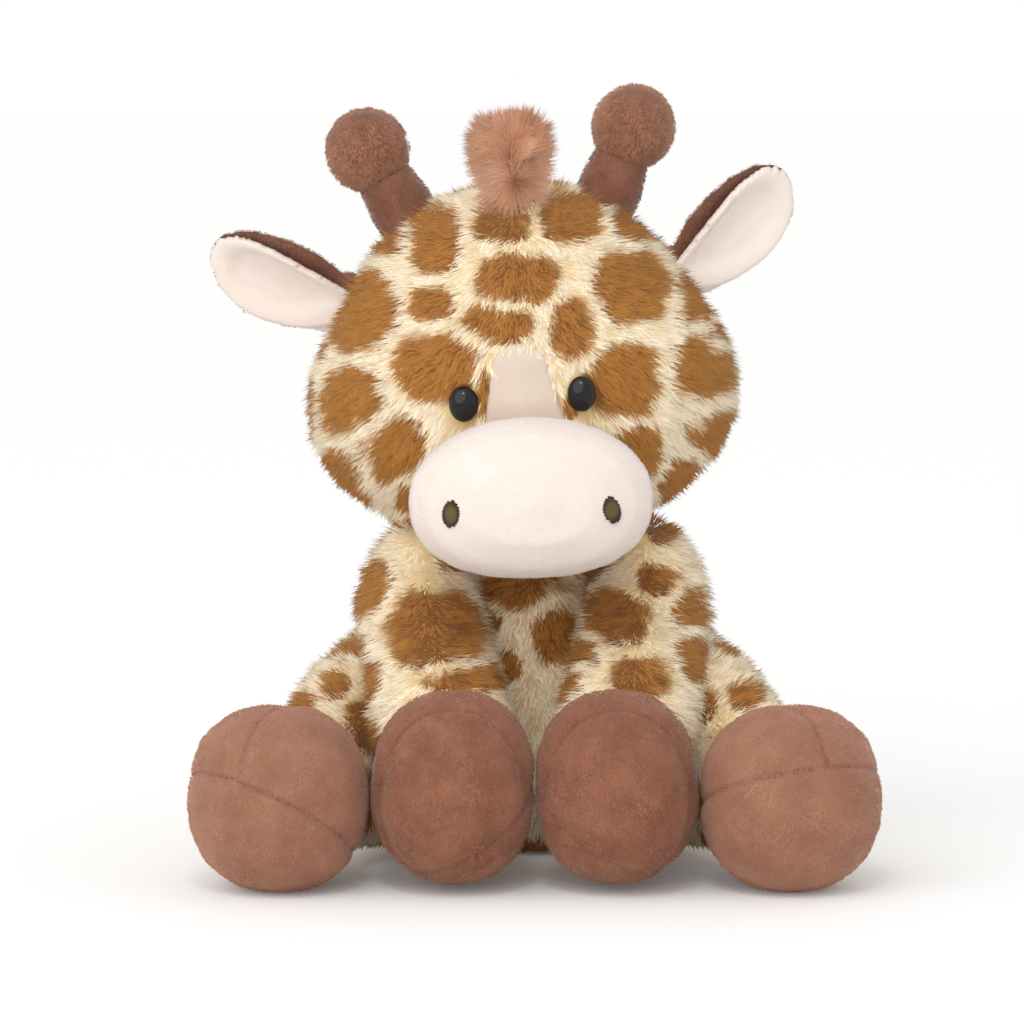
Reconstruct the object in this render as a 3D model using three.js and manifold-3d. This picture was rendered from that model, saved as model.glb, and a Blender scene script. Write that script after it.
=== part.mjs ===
// Seated stuffed giraffe, a child's plush toy.
// Millimetres, +Z up. The toy looks along -Y and its own left side is +X.
// The origin is the middle of the flat underside that it sits on.

import * as THREE from 'three';
import { mergeVertices } from 'three/addons/utils/BufferGeometryUtils.js';
import Module from 'manifold-3d';

const wasm = await Module();
wasm.setup();

// Fabrics and clearances
const PLUSH = 5; // printed long pile plush, backing and pile
const SHORT_PLUSH = 2.5; // short pile plush of hooves, horns and ears
const VELBOA = 2; // shaved plush of the muzzle
const SEAM_GAP = 0.3; // between pieces sewn or laid together
const FLEX_GAP = 1; // between pieces that move against each other
const FLOOR_CUT = 0.5; // depth of the flats that the toy rests on

// Torso
const TORSO_HEIGHT = 103;
const BELLY_WIDTH = 88;
const BELLY_DEPTH = 84;
const BEAN_LEVEL = 24; // top of the bean pouch

// Neck
const NECK_RADIUS = 16.5; // of the round top that the head rocks on
const NECK_STEM_RADIUS = 13.5;
const NECK_SINK = 34; // how far the neck reaches down into the torso
const NECK_OPENING = 12; // diameter of the hole that the neck is stuffed through

// Head
const HEAD_WIDTH = 145;
const HEAD_DEPTH = 119;
const HEAD_HEIGHT = 118;
const HEAD_FORWARD = 6; // middle of the head in front of the neck
const HEAD_TILT = 5; // degrees, crown leaning to the toy's right
const CHIN_OVERLAP = 4; // chin below the middle of the neck joint

// Face
const MUZZLE_WIDTH = 79;
const MUZZLE_TALL = 52;
const MUZZLE_REACH = 44; // front of the muzzle ahead of the face
const MUZZLE_LEVEL = 18; // above the chin
const MUZZLE_LEVELLING = 3.5; // degrees by which the muzzle tilts less than the head
const MUZZLE_JOWL = 2.45; // power of its outline below the middle
const NOSTRIL_DROP = 2.5; // below the middle of the muzzle
const NOSTRIL_SPACING = 51;
const NOSTRIL_WIDTH = 6;
const NOSTRIL_TALL = 9.5;
const NOSTRIL_THICK = 2;
const NOSTRIL_LEAN = 12; // degrees
const EYE_WIDTH = 9.5;
const EYE_TALL = 12;
const EYE_DOME = 5;
const EYE_SINK = 2.5; // into the pile
const EYE_SPACING = 39.5;
const EYE_LEVEL = 49.5;
const SHANK_DIAMETER = 4.5;
const SHANK_LENGTH = 13;
const SHANK_EMBED = 1; // how far the shank runs into the dome
const WASHER_DIAMETER = 12;
const WASHER_THICK = 1.5;
const WASHER_SEAT = 0.8; // clear of the curved inside of the cover
const BLAZE_FOOT_WIDTH = 31;
const BLAZE_TOP_WIDTH = 19;
const BLAZE_FOOT_LEVEL = 30; // above the chin, under the muzzle's upper edge
const BLAZE_LEVEL = 67; // top of the blaze above the chin

// Forelock
const FORELOCK_WIDTH = 27;
const FORELOCK_TALL = 33;
const FORELOCK_DROP = 5; // sewn line below the top of the head
const FORELOCK_ASIDE = 3; // towards the toy's left
const FORELOCK_ROOT = 5; // how far it is sewn into the crown

// Horns
const HORN_LENGTH = 26; // seam to the middle of the knob
const HORN_WIDTH = 22;
const HORN_KNOB = 28;
const HORN_DROP = 9.5; // sewn line below the top of the head
const HORN_BEARING = 96; // degrees round from the nose
const HORN_SPLAY = 26; // degrees from upright
const HORN_FLARE = 0.5; // of the stem at its root
const HORN_TAPER = 1.4; // of the stem at the knob
const HORN_WAIST = 0.4; // where the root's flare ends, of the root's radius
const HORN_LIP = 144; // degrees from the tip round to the open end of the root
const HORN_SHOULDER = 112; // degrees from the tip round to where the root meets the stem

// Ears
const EAR_LENGTH = 48;
const EAR_WIDTH = 33;
const EAR_BACK_THICK = 4.5;
const EAR_LINING_THICK = 3;
const EAR_CUP = 6;
const EAR_LEVEL = 83;
const EAR_BEARING = 94; // degrees round from the nose
const EAR_DROOP = 24; // degrees, lining turned to the floor
const EAR_RISE_RIGHT = 26; // degrees above level
const EAR_RISE_LEFT = 39;
const EAR_HEM = 5; // thickness of the sewn base
const EAR_HEM_LENGTH = 20;
const EAR_PROUD = 0.5; // middle of the hem outside the head

// Arms, which are the front legs
const ARM_ROOT = 40; // diameter at the shoulder
const ARM_CUFF = 45; // diameter at the hoof
const ARM_HOOF_WIDTH = 52;
const ARM_HOOF_DEPTH = 52;
const ARM_HOOF_TALL = 61;
const ARM_HOOF_LEAN = 18; // degrees, top leaning back
const ARM_LIFT = 2.5; // arm hooves above the floor
const ARM_SOLE_TILT = 20; // degrees, sole turned back
const ARM_SOLE_ROLL = 30; // degrees, soles turned to each other
const ARM_SOLE_LEVEL = 11; // seam of the sole below the middle of the hoof
const ARM_PANEL_FORWARD = 11; // side seams ahead of the middle of the hoof
const SHOULDER_FORWARD = 18;
const SHOULDER_ROOM = 2.5; // between the neck and the shoulder
const SHOULDER_DROP = 15.5; // shoulder joint below the torso's top

// Legs, which are the hind legs
const LEG_ROOT = 72; // height of the haunch
const HAUNCH_THICK = 44; // from its outer side to its inner side
const HAUNCH_STEP = 10; // from the middle of the haunch in to where the leg clears the belly
const HAUNCH_SWEEP = 41; // radius about the hip within which the leg clears the belly
const LEG_CUFF = 41;
const FOOT_WIDTH = 58;
const FOOT_DEPTH = 56;
const FOOT_TALL = 59;
const HOOF_FORWARD = 85; // middles of all four hooves ahead of the seat
const HOOF_GAP = 0.9; // between neighbouring hooves
const FOOT_SOLE_TILT = 20; // degrees, sole turned forward
const FOOT_ROLL_RIGHT = 26; // degrees, sole turned outward
const FOOT_ROLL_LEFT = 10;
const FOOT_SOLE_RIGHT = 5; // seam of the sole below the middle of the hoof
const FOOT_SOLE_LEFT = -3.5;
const HIP_FORWARD = 5;
const HIP_SPREAD = 92;
const ROOT_HEM = 10; // sewn margin round the opening of a limb's root

// Tail
const TAIL_LENGTH = 36;
const TAIL_WIDTH = 9;
const TAIL_TUFT_LENGTH = 20;
const TAIL_TUFT_WIDTH = 14;
const TAIL_LEVEL = 34;
const TAIL_FALL = 31; // degrees below level
const TAIL_FLARE = 1; // of the tail at its root
const TAIL_TAPER = 0.5; // of the tail at its tuft
const TAIL_SHOULDER = 108; // degrees from the tip round to where the root meets the tail

// Unit shapes: shares of half the width, and of the height
const TORSO_SHAPE = [
  [0.0, 0.0], [0.6, 0.02], [0.9, 0.1], [1.0, 0.26], [0.95, 0.43], [0.78, 0.58], [0.58, 0.72],
  [0.5, 0.87], [0.36, 0.97], [0.0, 1.0],
];
const HEAD_SHAPE = [
  [0.0, 0.0], [0.42, 0.015], [0.68, 0.08], [0.89, 0.19], [0.98, 0.3], [1.0, 0.41],
  [0.96, 0.52], [0.85, 0.64], [0.73, 0.76], [0.58, 0.87], [0.35, 0.965], [0.0, 1.0],
];
const MUZZLE_SHAPE = [
  [0.0, -0.5], [0.82, -0.5], [0.93, 0.02], [1.0, 0.33], [0.97, 0.58], [0.83, 0.79], [0.5, 0.94],
  [0.0, 1.0],
];
const FORELOCK_SHAPE = [
  [0.0, 0.0], [0.56, 0.03], [0.8, 0.16], [0.92, 0.38], [1.0, 0.62], [0.96, 0.82], [0.68, 0.95],
  [0.0, 1.0],
];
const TASSEL_SHAPE = [
  [0.0, 0.0], [0.42, 0.03], [0.68, 0.15], [0.92, 0.38], [1.0, 0.6], [0.85, 0.82], [0.48, 0.96],
  [0.0, 1.0],
];

const SLEEVE_SHAPE = [0.4, 0.7, 0.95]; // halfway, full at the cuff, and how far it draws in at its end
const OVAL = 2; // power of a round outline, where more is squarer
const HOOF_PLUMPNESS = 2.25;

// Facets round a large form, a middling one, a small one and one that nobody sees
const FINE = 20;
const MEDIUM = 16;
const COARSE = 12;
const HIDDEN = 8;

// Steps along the curve of each kind of profile
const KNOB_STEPS = 8;
const HOOF_STEPS = 7;
const NECK_STEPS = 6;
const INSIDE_STEPS = 5;
const ROOT_STEPS = 4;
const FLARE_STEPS = 3;

const FAR = 400; // past the ends of the whole toy

const UP = new THREE.Vector3(0, 0, 1);
const ACROSS = new THREE.Vector3(1, 0, 0);
const rad = THREE.MathUtils.degToRad;

// Geometry helpers

// Shared vertices merged, position only, with collapsed triangles taken out
function closed(geometry) {
  const bare = geometry.clone();
  bare.deleteAttribute('normal');
  bare.deleteAttribute('uv');
  const merged = mergeVertices(bare, 1e-4);
  const corners = merged.index.array;
  const kept = [];
  for (let i = 0; i < corners.length; i += 3) {
    const [a, b, c] = [corners[i], corners[i + 1], corners[i + 2]];
    if (a !== b && b !== c && c !== a) {
      kept.push(a, b, c);
    }
  }
  merged.setIndex(kept);
  return merged;
}

function solid(geometry) {
  const mesh = closed(geometry);
  const vertProperties = new Float32Array(mesh.attributes.position.array);
  const triVerts = new Uint32Array(mesh.index.array);
  return new wasm.Manifold(new wasm.Mesh({ numProp: 3, vertProperties, triVerts }));
}

// The closed form with its surface moved out by a distance
function grown(geometry, distance) {
  const mesh = closed(geometry);
  if (distance === 0) {
    return mesh;
  }
  mesh.computeVertexNormals();
  const { position, normal } = mesh.attributes;
  for (let i = 0; i < position.count; i += 1) {
    position.setXYZ(
      i,
      position.getX(i) + distance * normal.getX(i),
      position.getY(i) + distance * normal.getY(i),
      position.getZ(i) + distance * normal.getZ(i),
    );
  }
  return mesh;
}

// A profile of [radius, height] pairs turned about Z
function turned(profile, around) {
  const points = profile.map(([radius, height]) => new THREE.Vector2(radius, height));
  return new THREE.LatheGeometry(points, around).rotateX(Math.PI / 2);
}

// A unit shape scaled to a half width and a height
function sized(shape, halfWidth, height) {
  return shape.map(([share, level]) => [share * halfWidth, level * height]);
}

// Every second point of a shape, for an inside that nobody sees
function plainer(shape) {
  return shape.filter((point, i) => i % 2 === 0 || i === shape.length - 1);
}

// Half of a rounded square from pole to pole, for a plump form
function plump(power, steps) {
  const points = [];
  for (let i = 0; i <= steps; i += 1) {
    const angle = -Math.PI / 2 + (Math.PI * i) / steps;
    const radius = Math.max(Math.cos(angle), 0) ** (2 / power);
    const height = Math.sign(Math.sin(angle)) * Math.abs(Math.sin(angle)) ** (2 / power);
    points.push([i === 0 || i === steps ? 0 : radius, height]);
  }
  return points;
}

// Points of an arc about the axis, as [radius, height], between two angles from the top
function arc(radius, centre, from, to, steps) {
  const points = [];
  for (let i = 0; i <= steps; i += 1) {
    const angle = from + ((to - from) * i) / steps;
    points.push([Math.abs(radius * Math.sin(angle)), centre + radius * Math.cos(angle)]);
  }
  return points;
}

// Moves a form built along Z to a place, with Z turned to a direction
function aimed(geometry, place, direction) {
  const turn = new THREE.Quaternion().setFromUnitVectors(UP, direction.clone().normalize());
  return geometry.applyQuaternion(turn).translate(place.x, place.y, place.z);
}

// A ball whose facets run round the axis that it turns about
function ball(centre, radius, axis, around = COARSE) {
  const sphere = new THREE.SphereGeometry(radius, around, around / 2).rotateX(Math.PI / 2);
  return solid(aimed(sphere, centre, axis));
}

function rod(from, to, radius, around = COARSE) {
  const along = to.clone().sub(from);
  const cylinder = new THREE.CylinderGeometry(radius, radius, along.length(), around);
  cylinder.rotateX(Math.PI / 2).translate(0, 0, along.length() / 2);
  return solid(aimed(cylinder, from, along));
}

// A block whose top face lies at a place, with its outward normal given
function blockBelow(place, normal, reach) {
  const box = new THREE.BoxGeometry(2 * reach, 2 * reach, 2 * reach).translate(0, 0, -reach);
  return solid(aimed(box, place, normal));
}

// Scene helpers

const giraffe = new THREE.Group();
const headGroup = new THREE.Group();
giraffe.add(headGroup);

const FABRICS = {
  printedPlush: { color: 0xd9b98a, roughness: 0.95, metalness: 0 },
  hoofPlush: { color: 0xa06b57, roughness: 0.9, metalness: 0 },
  hornPlush: { color: 0x8a5a47, roughness: 0.9, metalness: 0 },
  longPile: { color: 0xc48a70, roughness: 0.95, metalness: 0 },
  paleVelboa: { color: 0xf6e9e2, roughness: 0.85, metalness: 0 },
  thread: { color: 0x5a452b, roughness: 0.7, metalness: 0 },
  eyePlastic: { color: 0x15171a, roughness: 0.12, metalness: 0 },
  washerPlastic: { color: 0xe9e9e4, roughness: 0.5, metalness: 0 },
  fibrefill: { color: 0xf4f3ee, roughness: 1, metalness: 0 },
  beanPouch: { color: 0xe6e2d8, roughness: 0.9, metalness: 0 },
};

function addPiece(group, name, shape, fabric) {
  const { vertProperties, triVerts } = shape.getMesh();
  const geometry = new THREE.BufferGeometry();
  geometry.setAttribute('position', new THREE.BufferAttribute(vertProperties, 3));
  geometry.setIndex(new THREE.BufferAttribute(triVerts, 1));
  geometry.computeVertexNormals();
  const mesh = new THREE.Mesh(geometry, new THREE.MeshStandardMaterial(FABRICS[fabric]));
  mesh.name = name;
  group.add(mesh);
}

const floorBlock = blockBelow(new THREE.Vector3(0, 0, 0), UP, FAR);

// Torso form

function torsoForm(grow, shape = TORSO_SHAPE, around = FINE) {
  const profile = sized(shape, BELLY_WIDTH / 2, TORSO_HEIGHT + FLOOR_CUT);
  const form = turned(profile, around).scale(1, BELLY_DEPTH / BELLY_WIDTH, 1);
  return solid(grown(form.translate(0, 0, -FLOOR_CUT), grow));
}

// Neck, which turns in the torso about Z and carries the head on its round top

const neckJoint = new THREE.Vector3(0, 0, TORSO_HEIGHT + NECK_RADIUS / 2);

function neckForm(grow) {
  const [radius, stem] = [NECK_RADIUS + grow, NECK_STEM_RADIUS + grow];
  const foot = TORSO_HEIGHT - NECK_SINK - grow;
  const top = arc(radius, neckJoint.z, Math.PI - Math.asin(stem / radius), 0, NECK_STEPS);
  return solid(turned([[0, foot], [stem, foot], ...top], MEDIUM));
}

addPiece(giraffe, 'neck_cover', neckForm(0).subtract(
  neckForm(-PLUSH).add(rod(new THREE.Vector3(), neckJoint, NECK_OPENING / 2)),
), 'printedPlush');
addPiece(giraffe, 'neck_stuffing', neckForm(-PLUSH - SEAM_GAP), 'fibrefill');

// Limbs

const sides = [
  {
    name: 'right', sign: -1, soleRoll: FOOT_ROLL_RIGHT, soleLevel: FOOT_SOLE_RIGHT, earRise: EAR_RISE_RIGHT,
  },
  { name: 'left', sign: 1, soleRoll: FOOT_ROLL_LEFT, soleLevel: FOOT_SOLE_LEFT, earRise: EAR_RISE_LEFT },
];

function armSpec(side) {
  const middle = side.sign * (HOOF_GAP + ARM_HOOF_WIDTH) / 2;
  const roll = rad(ARM_SOLE_ROLL);
  const tilt = rad(ARM_SOLE_TILT);
  return {
    name: `${side.name}_arm`,
    root: new THREE.Vector3(
      side.sign * (NECK_RADIUS + SHOULDER_ROOM + ARM_ROOT / 2),
      -SHOULDER_FORWARD,
      TORSO_HEIGHT - SHOULDER_DROP,
    ),
    rootRadius: ARM_ROOT / 2,
    rootFlatness: 1,
    rootFacets: MEDIUM,
    cuffRadius: ARM_CUFF / 2,
    hoof: new THREE.Vector3(middle, -HOOF_FORWARD, ARM_LIFT + ARM_HOOF_TALL / 2),
    hoofSize: [ARM_HOOF_WIDTH, ARM_HOOF_DEPTH, ARM_HOOF_TALL],
    hoofTurn: new THREE.Euler(-rad(ARM_HOOF_LEAN), 0, 0),
    soleNormal: new THREE.Vector3(
      -side.sign * Math.sin(roll) * Math.cos(tilt), Math.sin(tilt), -Math.cos(roll) * Math.cos(tilt),
    ),
    soleLevel: ARM_SOLE_LEVEL,
    panelNormal: new THREE.Vector3(0, -1, 0),
    panels: ['front_panel', 'back_panel'],
    panelForward: ARM_PANEL_FORWARD,
  };
}

function legSpec(side) {
  const middle = HOOF_GAP / 2 + ARM_HOOF_WIDTH + HOOF_GAP + FOOT_WIDTH / 2;
  const root = new THREE.Vector3(side.sign * HIP_SPREAD / 2, -HIP_FORWARD, LEG_ROOT / 2 - FLOOR_CUT);
  const hoof = new THREE.Vector3(side.sign * middle, -HOOF_FORWARD, FOOT_TALL / 2 - FLOOR_CUT);
  const toeOut = Math.atan2(hoof.x - root.x, root.y - hoof.y);
  const roll = rad(side.soleRoll);
  const tilt = rad(FOOT_SOLE_TILT);
  return {
    name: `${side.name}_leg`,
    root,
    rootRadius: LEG_ROOT / 2,
    rootFlatness: HAUNCH_THICK / LEG_ROOT,
    rootFacets: FINE,
    cuffRadius: LEG_CUFF / 2,
    hoof,
    hoofSize: [FOOT_WIDTH, FOOT_DEPTH, FOOT_TALL],
    hoofTurn: new THREE.Euler(0, 0, toeOut),
    soleNormal: new THREE.Vector3(
      side.sign * Math.sin(roll) * Math.cos(tilt), -Math.sin(tilt), -Math.cos(roll) * Math.cos(tilt),
    ),
    soleLevel: side.soleLevel,
    panelNormal: new THREE.Vector3(-side.sign * Math.cos(toeOut), -Math.abs(Math.sin(toeOut)), 0),
    panels: ['inner_panel', 'outer_panel'],
    panelForward: 0,
  };
}

// Places a form built along Z on a limb, with X level and square to the limb
function onLimb(limb, form) {
  const along = limb.hoof.clone().sub(limb.root).normalize();
  const level = new THREE.Vector3().crossVectors(along, UP).normalize();
  const basis = new THREE.Matrix4().makeBasis(level, new THREE.Vector3().crossVectors(along, level), along);
  return form.applyMatrix4(basis.setPosition(limb.root));
}

// The sleeve from its round root at the joint to the middle of its hoof, before any cut.
// A haunch is flatter from side to side, and the sleeve is round again at the cuff.
function sleeveForm(limb, inset, around) {
  const length = limb.hoof.distanceTo(limb.root);
  const { rootRadius, rootFlatness, cuffRadius } = limb;
  const [halfway, full, drawn] = SLEEVE_SHAPE;
  const profile = [
    ...arc(rootRadius, 0, Math.PI, Math.PI / 2, ROOT_STEPS),
    [(rootRadius + cuffRadius) / 2, length * halfway], [cuffRadius, length * full],
    [cuffRadius * drawn, length], [0, length],
  ];
  const form = closed(turned(profile, around));
  const { position } = form.attributes;
  for (let i = 0; i < position.count; i += 1) {
    const part = THREE.MathUtils.clamp(position.getZ(i) / (length * full), 0, 1);
    position.setX(i, position.getX(i) * THREE.MathUtils.lerp(rootFlatness, 1, part));
  }
  return solid(onLimb(limb, grown(form, -inset)));
}

// The hollow that a limb's root sits in, round about the level axis that the limb swings on
function rootSocket(limb, gap) {
  const radius = limb.rootRadius + gap;
  const { rootFacets } = limb;
  const form = new THREE.SphereGeometry(radius, rootFacets, rootFacets / 2).rotateZ(Math.PI / 2);
  form.scale((limb.rootRadius * limb.rootFlatness + gap) / radius, 1, 1);
  return solid(onLimb(limb, form));
}

function hoofForm(limb, grow, steps = HOOF_STEPS, around = MEDIUM) {
  const [width, depth, tall] = limb.hoofSize;
  const form = turned(plump(HOOF_PLUMPNESS, steps), around).scale(width / 2, depth / 2, tall / 2);
  const turn = new THREE.Quaternion().setFromEuler(limb.hoofTurn);
  const { x, y, z } = limb.hoof;
  return solid(grown(form.applyQuaternion(turn).translate(x, y, z), grow));
}

// The sewn opening between a limb's root and the torso
function rootOpening(limb) {
  const inward = new THREE.Vector3(0, limb.root.y, limb.root.z);
  return rod(limb.root, inward, limb.rootRadius - ROOT_HEM, HIDDEN);
}

// The room beside the belly that a swinging leg keeps clear of, all but its haunch
function bellySweep(leg, inset) {
  const gap = FLEX_GAP + inset;
  const level = new THREE.Vector3(leg.hoof.y - leg.root.y, leg.root.x - leg.hoof.x, 0).normalize();
  const inward = level.multiplyScalar(-Math.sign(level.x * leg.root.x));
  const near = leg.root.clone().addScaledVector(inward, HAUNCH_STEP - gap);
  const drum = rod(near, near.clone().addScaledVector(inward, HIP_SPREAD), HAUNCH_SWEEP + gap, MEDIUM);
  return drum.subtract(rootSocket(leg, FLEX_GAP / 2 - inset));
}

// The limb's solid form, its inside or its stuffing, each clear of the torso and of other limbs
function limbBody(limb, inset, around) {
  const torso = torsoForm(FLEX_GAP + inset).subtract(rootSocket(limb, FLEX_GAP / 2 - inset));
  const body = sleeveForm(limb, inset, around).subtract(torso);
  return limb.clears.reduce((left, clear) => left.subtract(clear(inset)), body);
}

function addLimb(limb) {
  const outer = hoofForm(limb, 0).subtract(floorBlock);
  const inner = hoofForm(limb, -SHORT_PLUSH, INSIDE_STEPS, HIDDEN);
  const stuffed = hoofForm(limb, -SHORT_PLUSH - SEAM_GAP, INSIDE_STEPS, HIDDEN);
  const lining = limbBody(limb, PLUSH, HIDDEN);
  let sleeve = limbBody(limb, 0, MEDIUM).subtract(lining).subtract(rootOpening(limb));
  sleeve = sleeve.subtract(hoofForm(limb, SEAM_GAP)).subtract(floorBlock);
  addPiece(giraffe, `${limb.name}_sleeve`, sleeve, 'printedPlush');

  const hoof = outer.subtract(inner).subtract(lining);
  const { soleNormal, panelNormal } = limb;
  const solePlace = limb.hoof.clone().addScaledVector(soleNormal, limb.soleLevel);
  const soleSide = blockBelow(solePlace, soleNormal.clone().negate(), FAR);
  const upperPlace = solePlace.clone().addScaledVector(soleNormal, -SEAM_GAP);
  const upper = hoof.intersect(blockBelow(upperPlace, soleNormal, FAR));
  const panelPlace = limb.hoof.clone().addScaledVector(panelNormal, limb.panelForward);
  const firstSide = blockBelow(panelPlace, panelNormal.clone().negate(), FAR);
  const secondPlace = panelPlace.clone().addScaledVector(panelNormal, -SEAM_GAP);
  const secondSide = blockBelow(secondPlace, panelNormal, FAR);
  addPiece(giraffe, `${limb.name}_hoof_${limb.panels[0]}`, upper.intersect(firstSide), 'hoofPlush');
  addPiece(giraffe, `${limb.name}_hoof_${limb.panels[1]}`, upper.intersect(secondSide), 'hoofPlush');
  addPiece(giraffe, `${limb.name}_hoof_sole`, hoof.intersect(soleSide), 'hoofPlush');
  addPiece(
    giraffe,
    `${limb.name}_stuffing`,
    limbBody(limb, PLUSH + SEAM_GAP, HIDDEN).add(stuffed),
    'fibrefill',
  );
}

const arms = sides.map(armSpec);
const legs = sides.map(legSpec);
arms.forEach((arm, i) => {
  const leg = legs[i];
  arm.clears = [(inset) => rootSocket(leg, FLEX_GAP + inset)];
  leg.clears = [
    (inset) => sleeveForm(arm, -FLEX_GAP - inset, MEDIUM),
    (inset) => hoofForm(arm, FLEX_GAP + inset),
    (inset) => bellySweep(leg, inset),
  ];
});
[...arms, ...legs].forEach(addLimb);

// Tail, hinged at the back seam

function torsoDepthAt(level) {
  const heights = TORSO_SHAPE.map(([, share]) => share * (TORSO_HEIGHT + FLOOR_CUT) - FLOOR_CUT);
  const above = heights.findIndex((height) => height > level);
  const part = (level - heights[above - 1]) / (heights[above] - heights[above - 1]);
  const share = THREE.MathUtils.lerp(TORSO_SHAPE[above - 1][0], TORSO_SHAPE[above][0], part);
  return share * BELLY_DEPTH / 2;
}

const tailRoot = new THREE.Vector3(0, torsoDepthAt(TAIL_LEVEL), TAIL_LEVEL);
const tailLine = new THREE.Vector3(0, Math.cos(rad(TAIL_FALL)), -Math.sin(rad(TAIL_FALL)));
const tailBall = TAIL_WIDTH / 2 + TAIL_FLARE;
const tailProfile = [
  ...arc(tailBall, 0, Math.PI, rad(TAIL_SHOULDER), ROOT_STEPS), [TAIL_WIDTH / 2, tailBall],
  [TAIL_WIDTH / 2 - TAIL_TAPER, TAIL_LENGTH], [0, TAIL_LENGTH],
];
const onTail = (profile, place) => solid(aimed(turned(profile, COARSE), place, tailLine));
addPiece(giraffe, 'tail_cover', onTail(tailProfile, tailRoot), 'printedPlush');
const tuftShape = sized(TASSEL_SHAPE, TAIL_TUFT_WIDTH / 2, TAIL_TUFT_LENGTH);
const tuftPlace = tailRoot.clone().addScaledVector(tailLine, TAIL_LENGTH + SEAM_GAP);
addPiece(giraffe, 'tail_tuft', onTail(tuftShape, tuftPlace), 'longPile');

// Torso pieces, with openings for neck, limbs and tail

const torsoCuts = [
  neckForm(FLEX_GAP),
  ball(tailRoot, tailBall + FLEX_GAP, ACROSS),
  ...[...arms, ...legs].map((limb) => rootSocket(limb, FLEX_GAP)),
];

function withCuts(shape, cuts) {
  return cuts.reduce((left, cut) => left.subtract(cut), shape);
}

const torsoInside = (inset) => torsoForm(-inset, plainer(TORSO_SHAPE), COARSE);
const bodyCover = torsoForm(0).subtract(floorBlock).subtract(torsoInside(PLUSH));
addPiece(giraffe, 'body_cover', withCuts(bodyCover, torsoCuts), 'printedPlush');
const bodyFill = withCuts(torsoInside(PLUSH + SEAM_GAP), torsoCuts);
const beanTop = new THREE.Vector3(0, 0, BEAN_LEVEL);
const fillFoot = new THREE.Vector3(0, 0, BEAN_LEVEL + SEAM_GAP);
addPiece(giraffe, 'body_stuffing', bodyFill.subtract(blockBelow(fillFoot, UP, FAR)), 'fibrefill');
addPiece(giraffe, 'seat_bean_pouch', bodyFill.intersect(blockBelow(beanTop, UP, FAR)), 'beanPouch');

// Head, in its own frame with the neck joint at its origin

headGroup.position.copy(neckJoint);
headGroup.rotation.y = -rad(HEAD_TILT);
const headFoot = new THREE.Vector3(0, -HEAD_FORWARD, -CHIN_OVERLAP);
const headRatio = HEAD_DEPTH / HEAD_WIDTH;

function headForm(grow, shape = HEAD_SHAPE, around = FINE) {
  const form = turned(sized(shape, HEAD_WIDTH / 2, HEAD_HEIGHT), around);
  return solid(grown(form.scale(1, headRatio, 1).translate(headFoot.x, headFoot.y, headFoot.z), grow));
}

// Half width of the head at a level above the chin, and how it changes with height
function headGirth(level) {
  const above = HEAD_SHAPE.findIndex(([, share]) => share * HEAD_HEIGHT > level);
  const [low, high] = [HEAD_SHAPE[above - 1], HEAD_SHAPE[above]];
  const part = (level / HEAD_HEIGHT - low[1]) / (high[1] - low[1]);
  return {
    radius: THREE.MathUtils.lerp(low[0], high[0], part) * HEAD_WIDTH / 2,
    slope: ((high[0] - low[0]) * HEAD_WIDTH / 2) / ((high[1] - low[1]) * HEAD_HEIGHT),
  };
}

// The head's surface at a level and a bearing from the nose towards the toy's left
function onHead(level, bearing) {
  const { radius, slope } = headGirth(level);
  const [across, ahead] = [Math.sin(bearing), Math.cos(bearing)];
  const place = new THREE.Vector3(radius * across, -radius * headRatio * ahead, level).add(headFoot);
  const normal = new THREE.Vector3(across, -ahead / headRatio, -slope).normalize();
  return { place, normal };
}

// Muzzle

const face = onHead(MUZZLE_LEVEL, 0).place;
const muzzleTurn = new THREE.Matrix4()
  .makeRotationY(rad(MUZZLE_LEVELLING))
  .multiply(new THREE.Matrix4().makeRotationX(Math.PI / 2));

// Round outline above the middle, squared towards the jowls below it
function muzzleForm(grow, shape = MUZZLE_SHAPE, around = FINE) {
  const form = turned(shape.map(([share, level]) => [share, level * MUZZLE_REACH]), around);
  const { position } = form.attributes;
  for (let i = 0; i < position.count; i += 1) {
    const [x, y] = [position.getX(i), position.getY(i)];
    const power = y < 0 ? MUZZLE_JOWL : OVAL;
    const squared = (Math.abs(x) ** power + Math.abs(y) ** power) ** (1 / power);
    const fuller = squared > 0 ? Math.hypot(x, y) / squared : 1;
    position.setXY(i, x * fuller, y * fuller);
  }
  form.scale(MUZZLE_WIDTH / 2, MUZZLE_TALL / 2, 1).applyMatrix4(muzzleTurn);
  return solid(grown(form.translate(face.x, face.y, face.z), grow));
}

// The muzzle's front surface beside its middle, found along its profile
function onMuzzle(across) {
  const share = Math.abs(across) / (MUZZLE_WIDTH / 2);
  const widest = MUZZLE_SHAPE.findIndex(([radius]) => radius === 1);
  const next = MUZZLE_SHAPE.findIndex(([radius], i) => i > widest && radius < share);
  const [wide, narrow] = [MUZZLE_SHAPE[next - 1], MUZZLE_SHAPE[next]];
  const part = (wide[0] - share) / (wide[0] - narrow[0]);
  const ahead = THREE.MathUtils.lerp(wide[1], narrow[1], part) * MUZZLE_REACH;
  const run = (wide[0] - narrow[0]) * MUZZLE_WIDTH / 2;
  const rise = (narrow[1] - wide[1]) * MUZZLE_REACH;
  const normal = new THREE.Vector3(Math.sign(across) * rise, -run, 0).normalize();
  return { place: new THREE.Vector3(across, -ahead, 0), normal };
}

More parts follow.
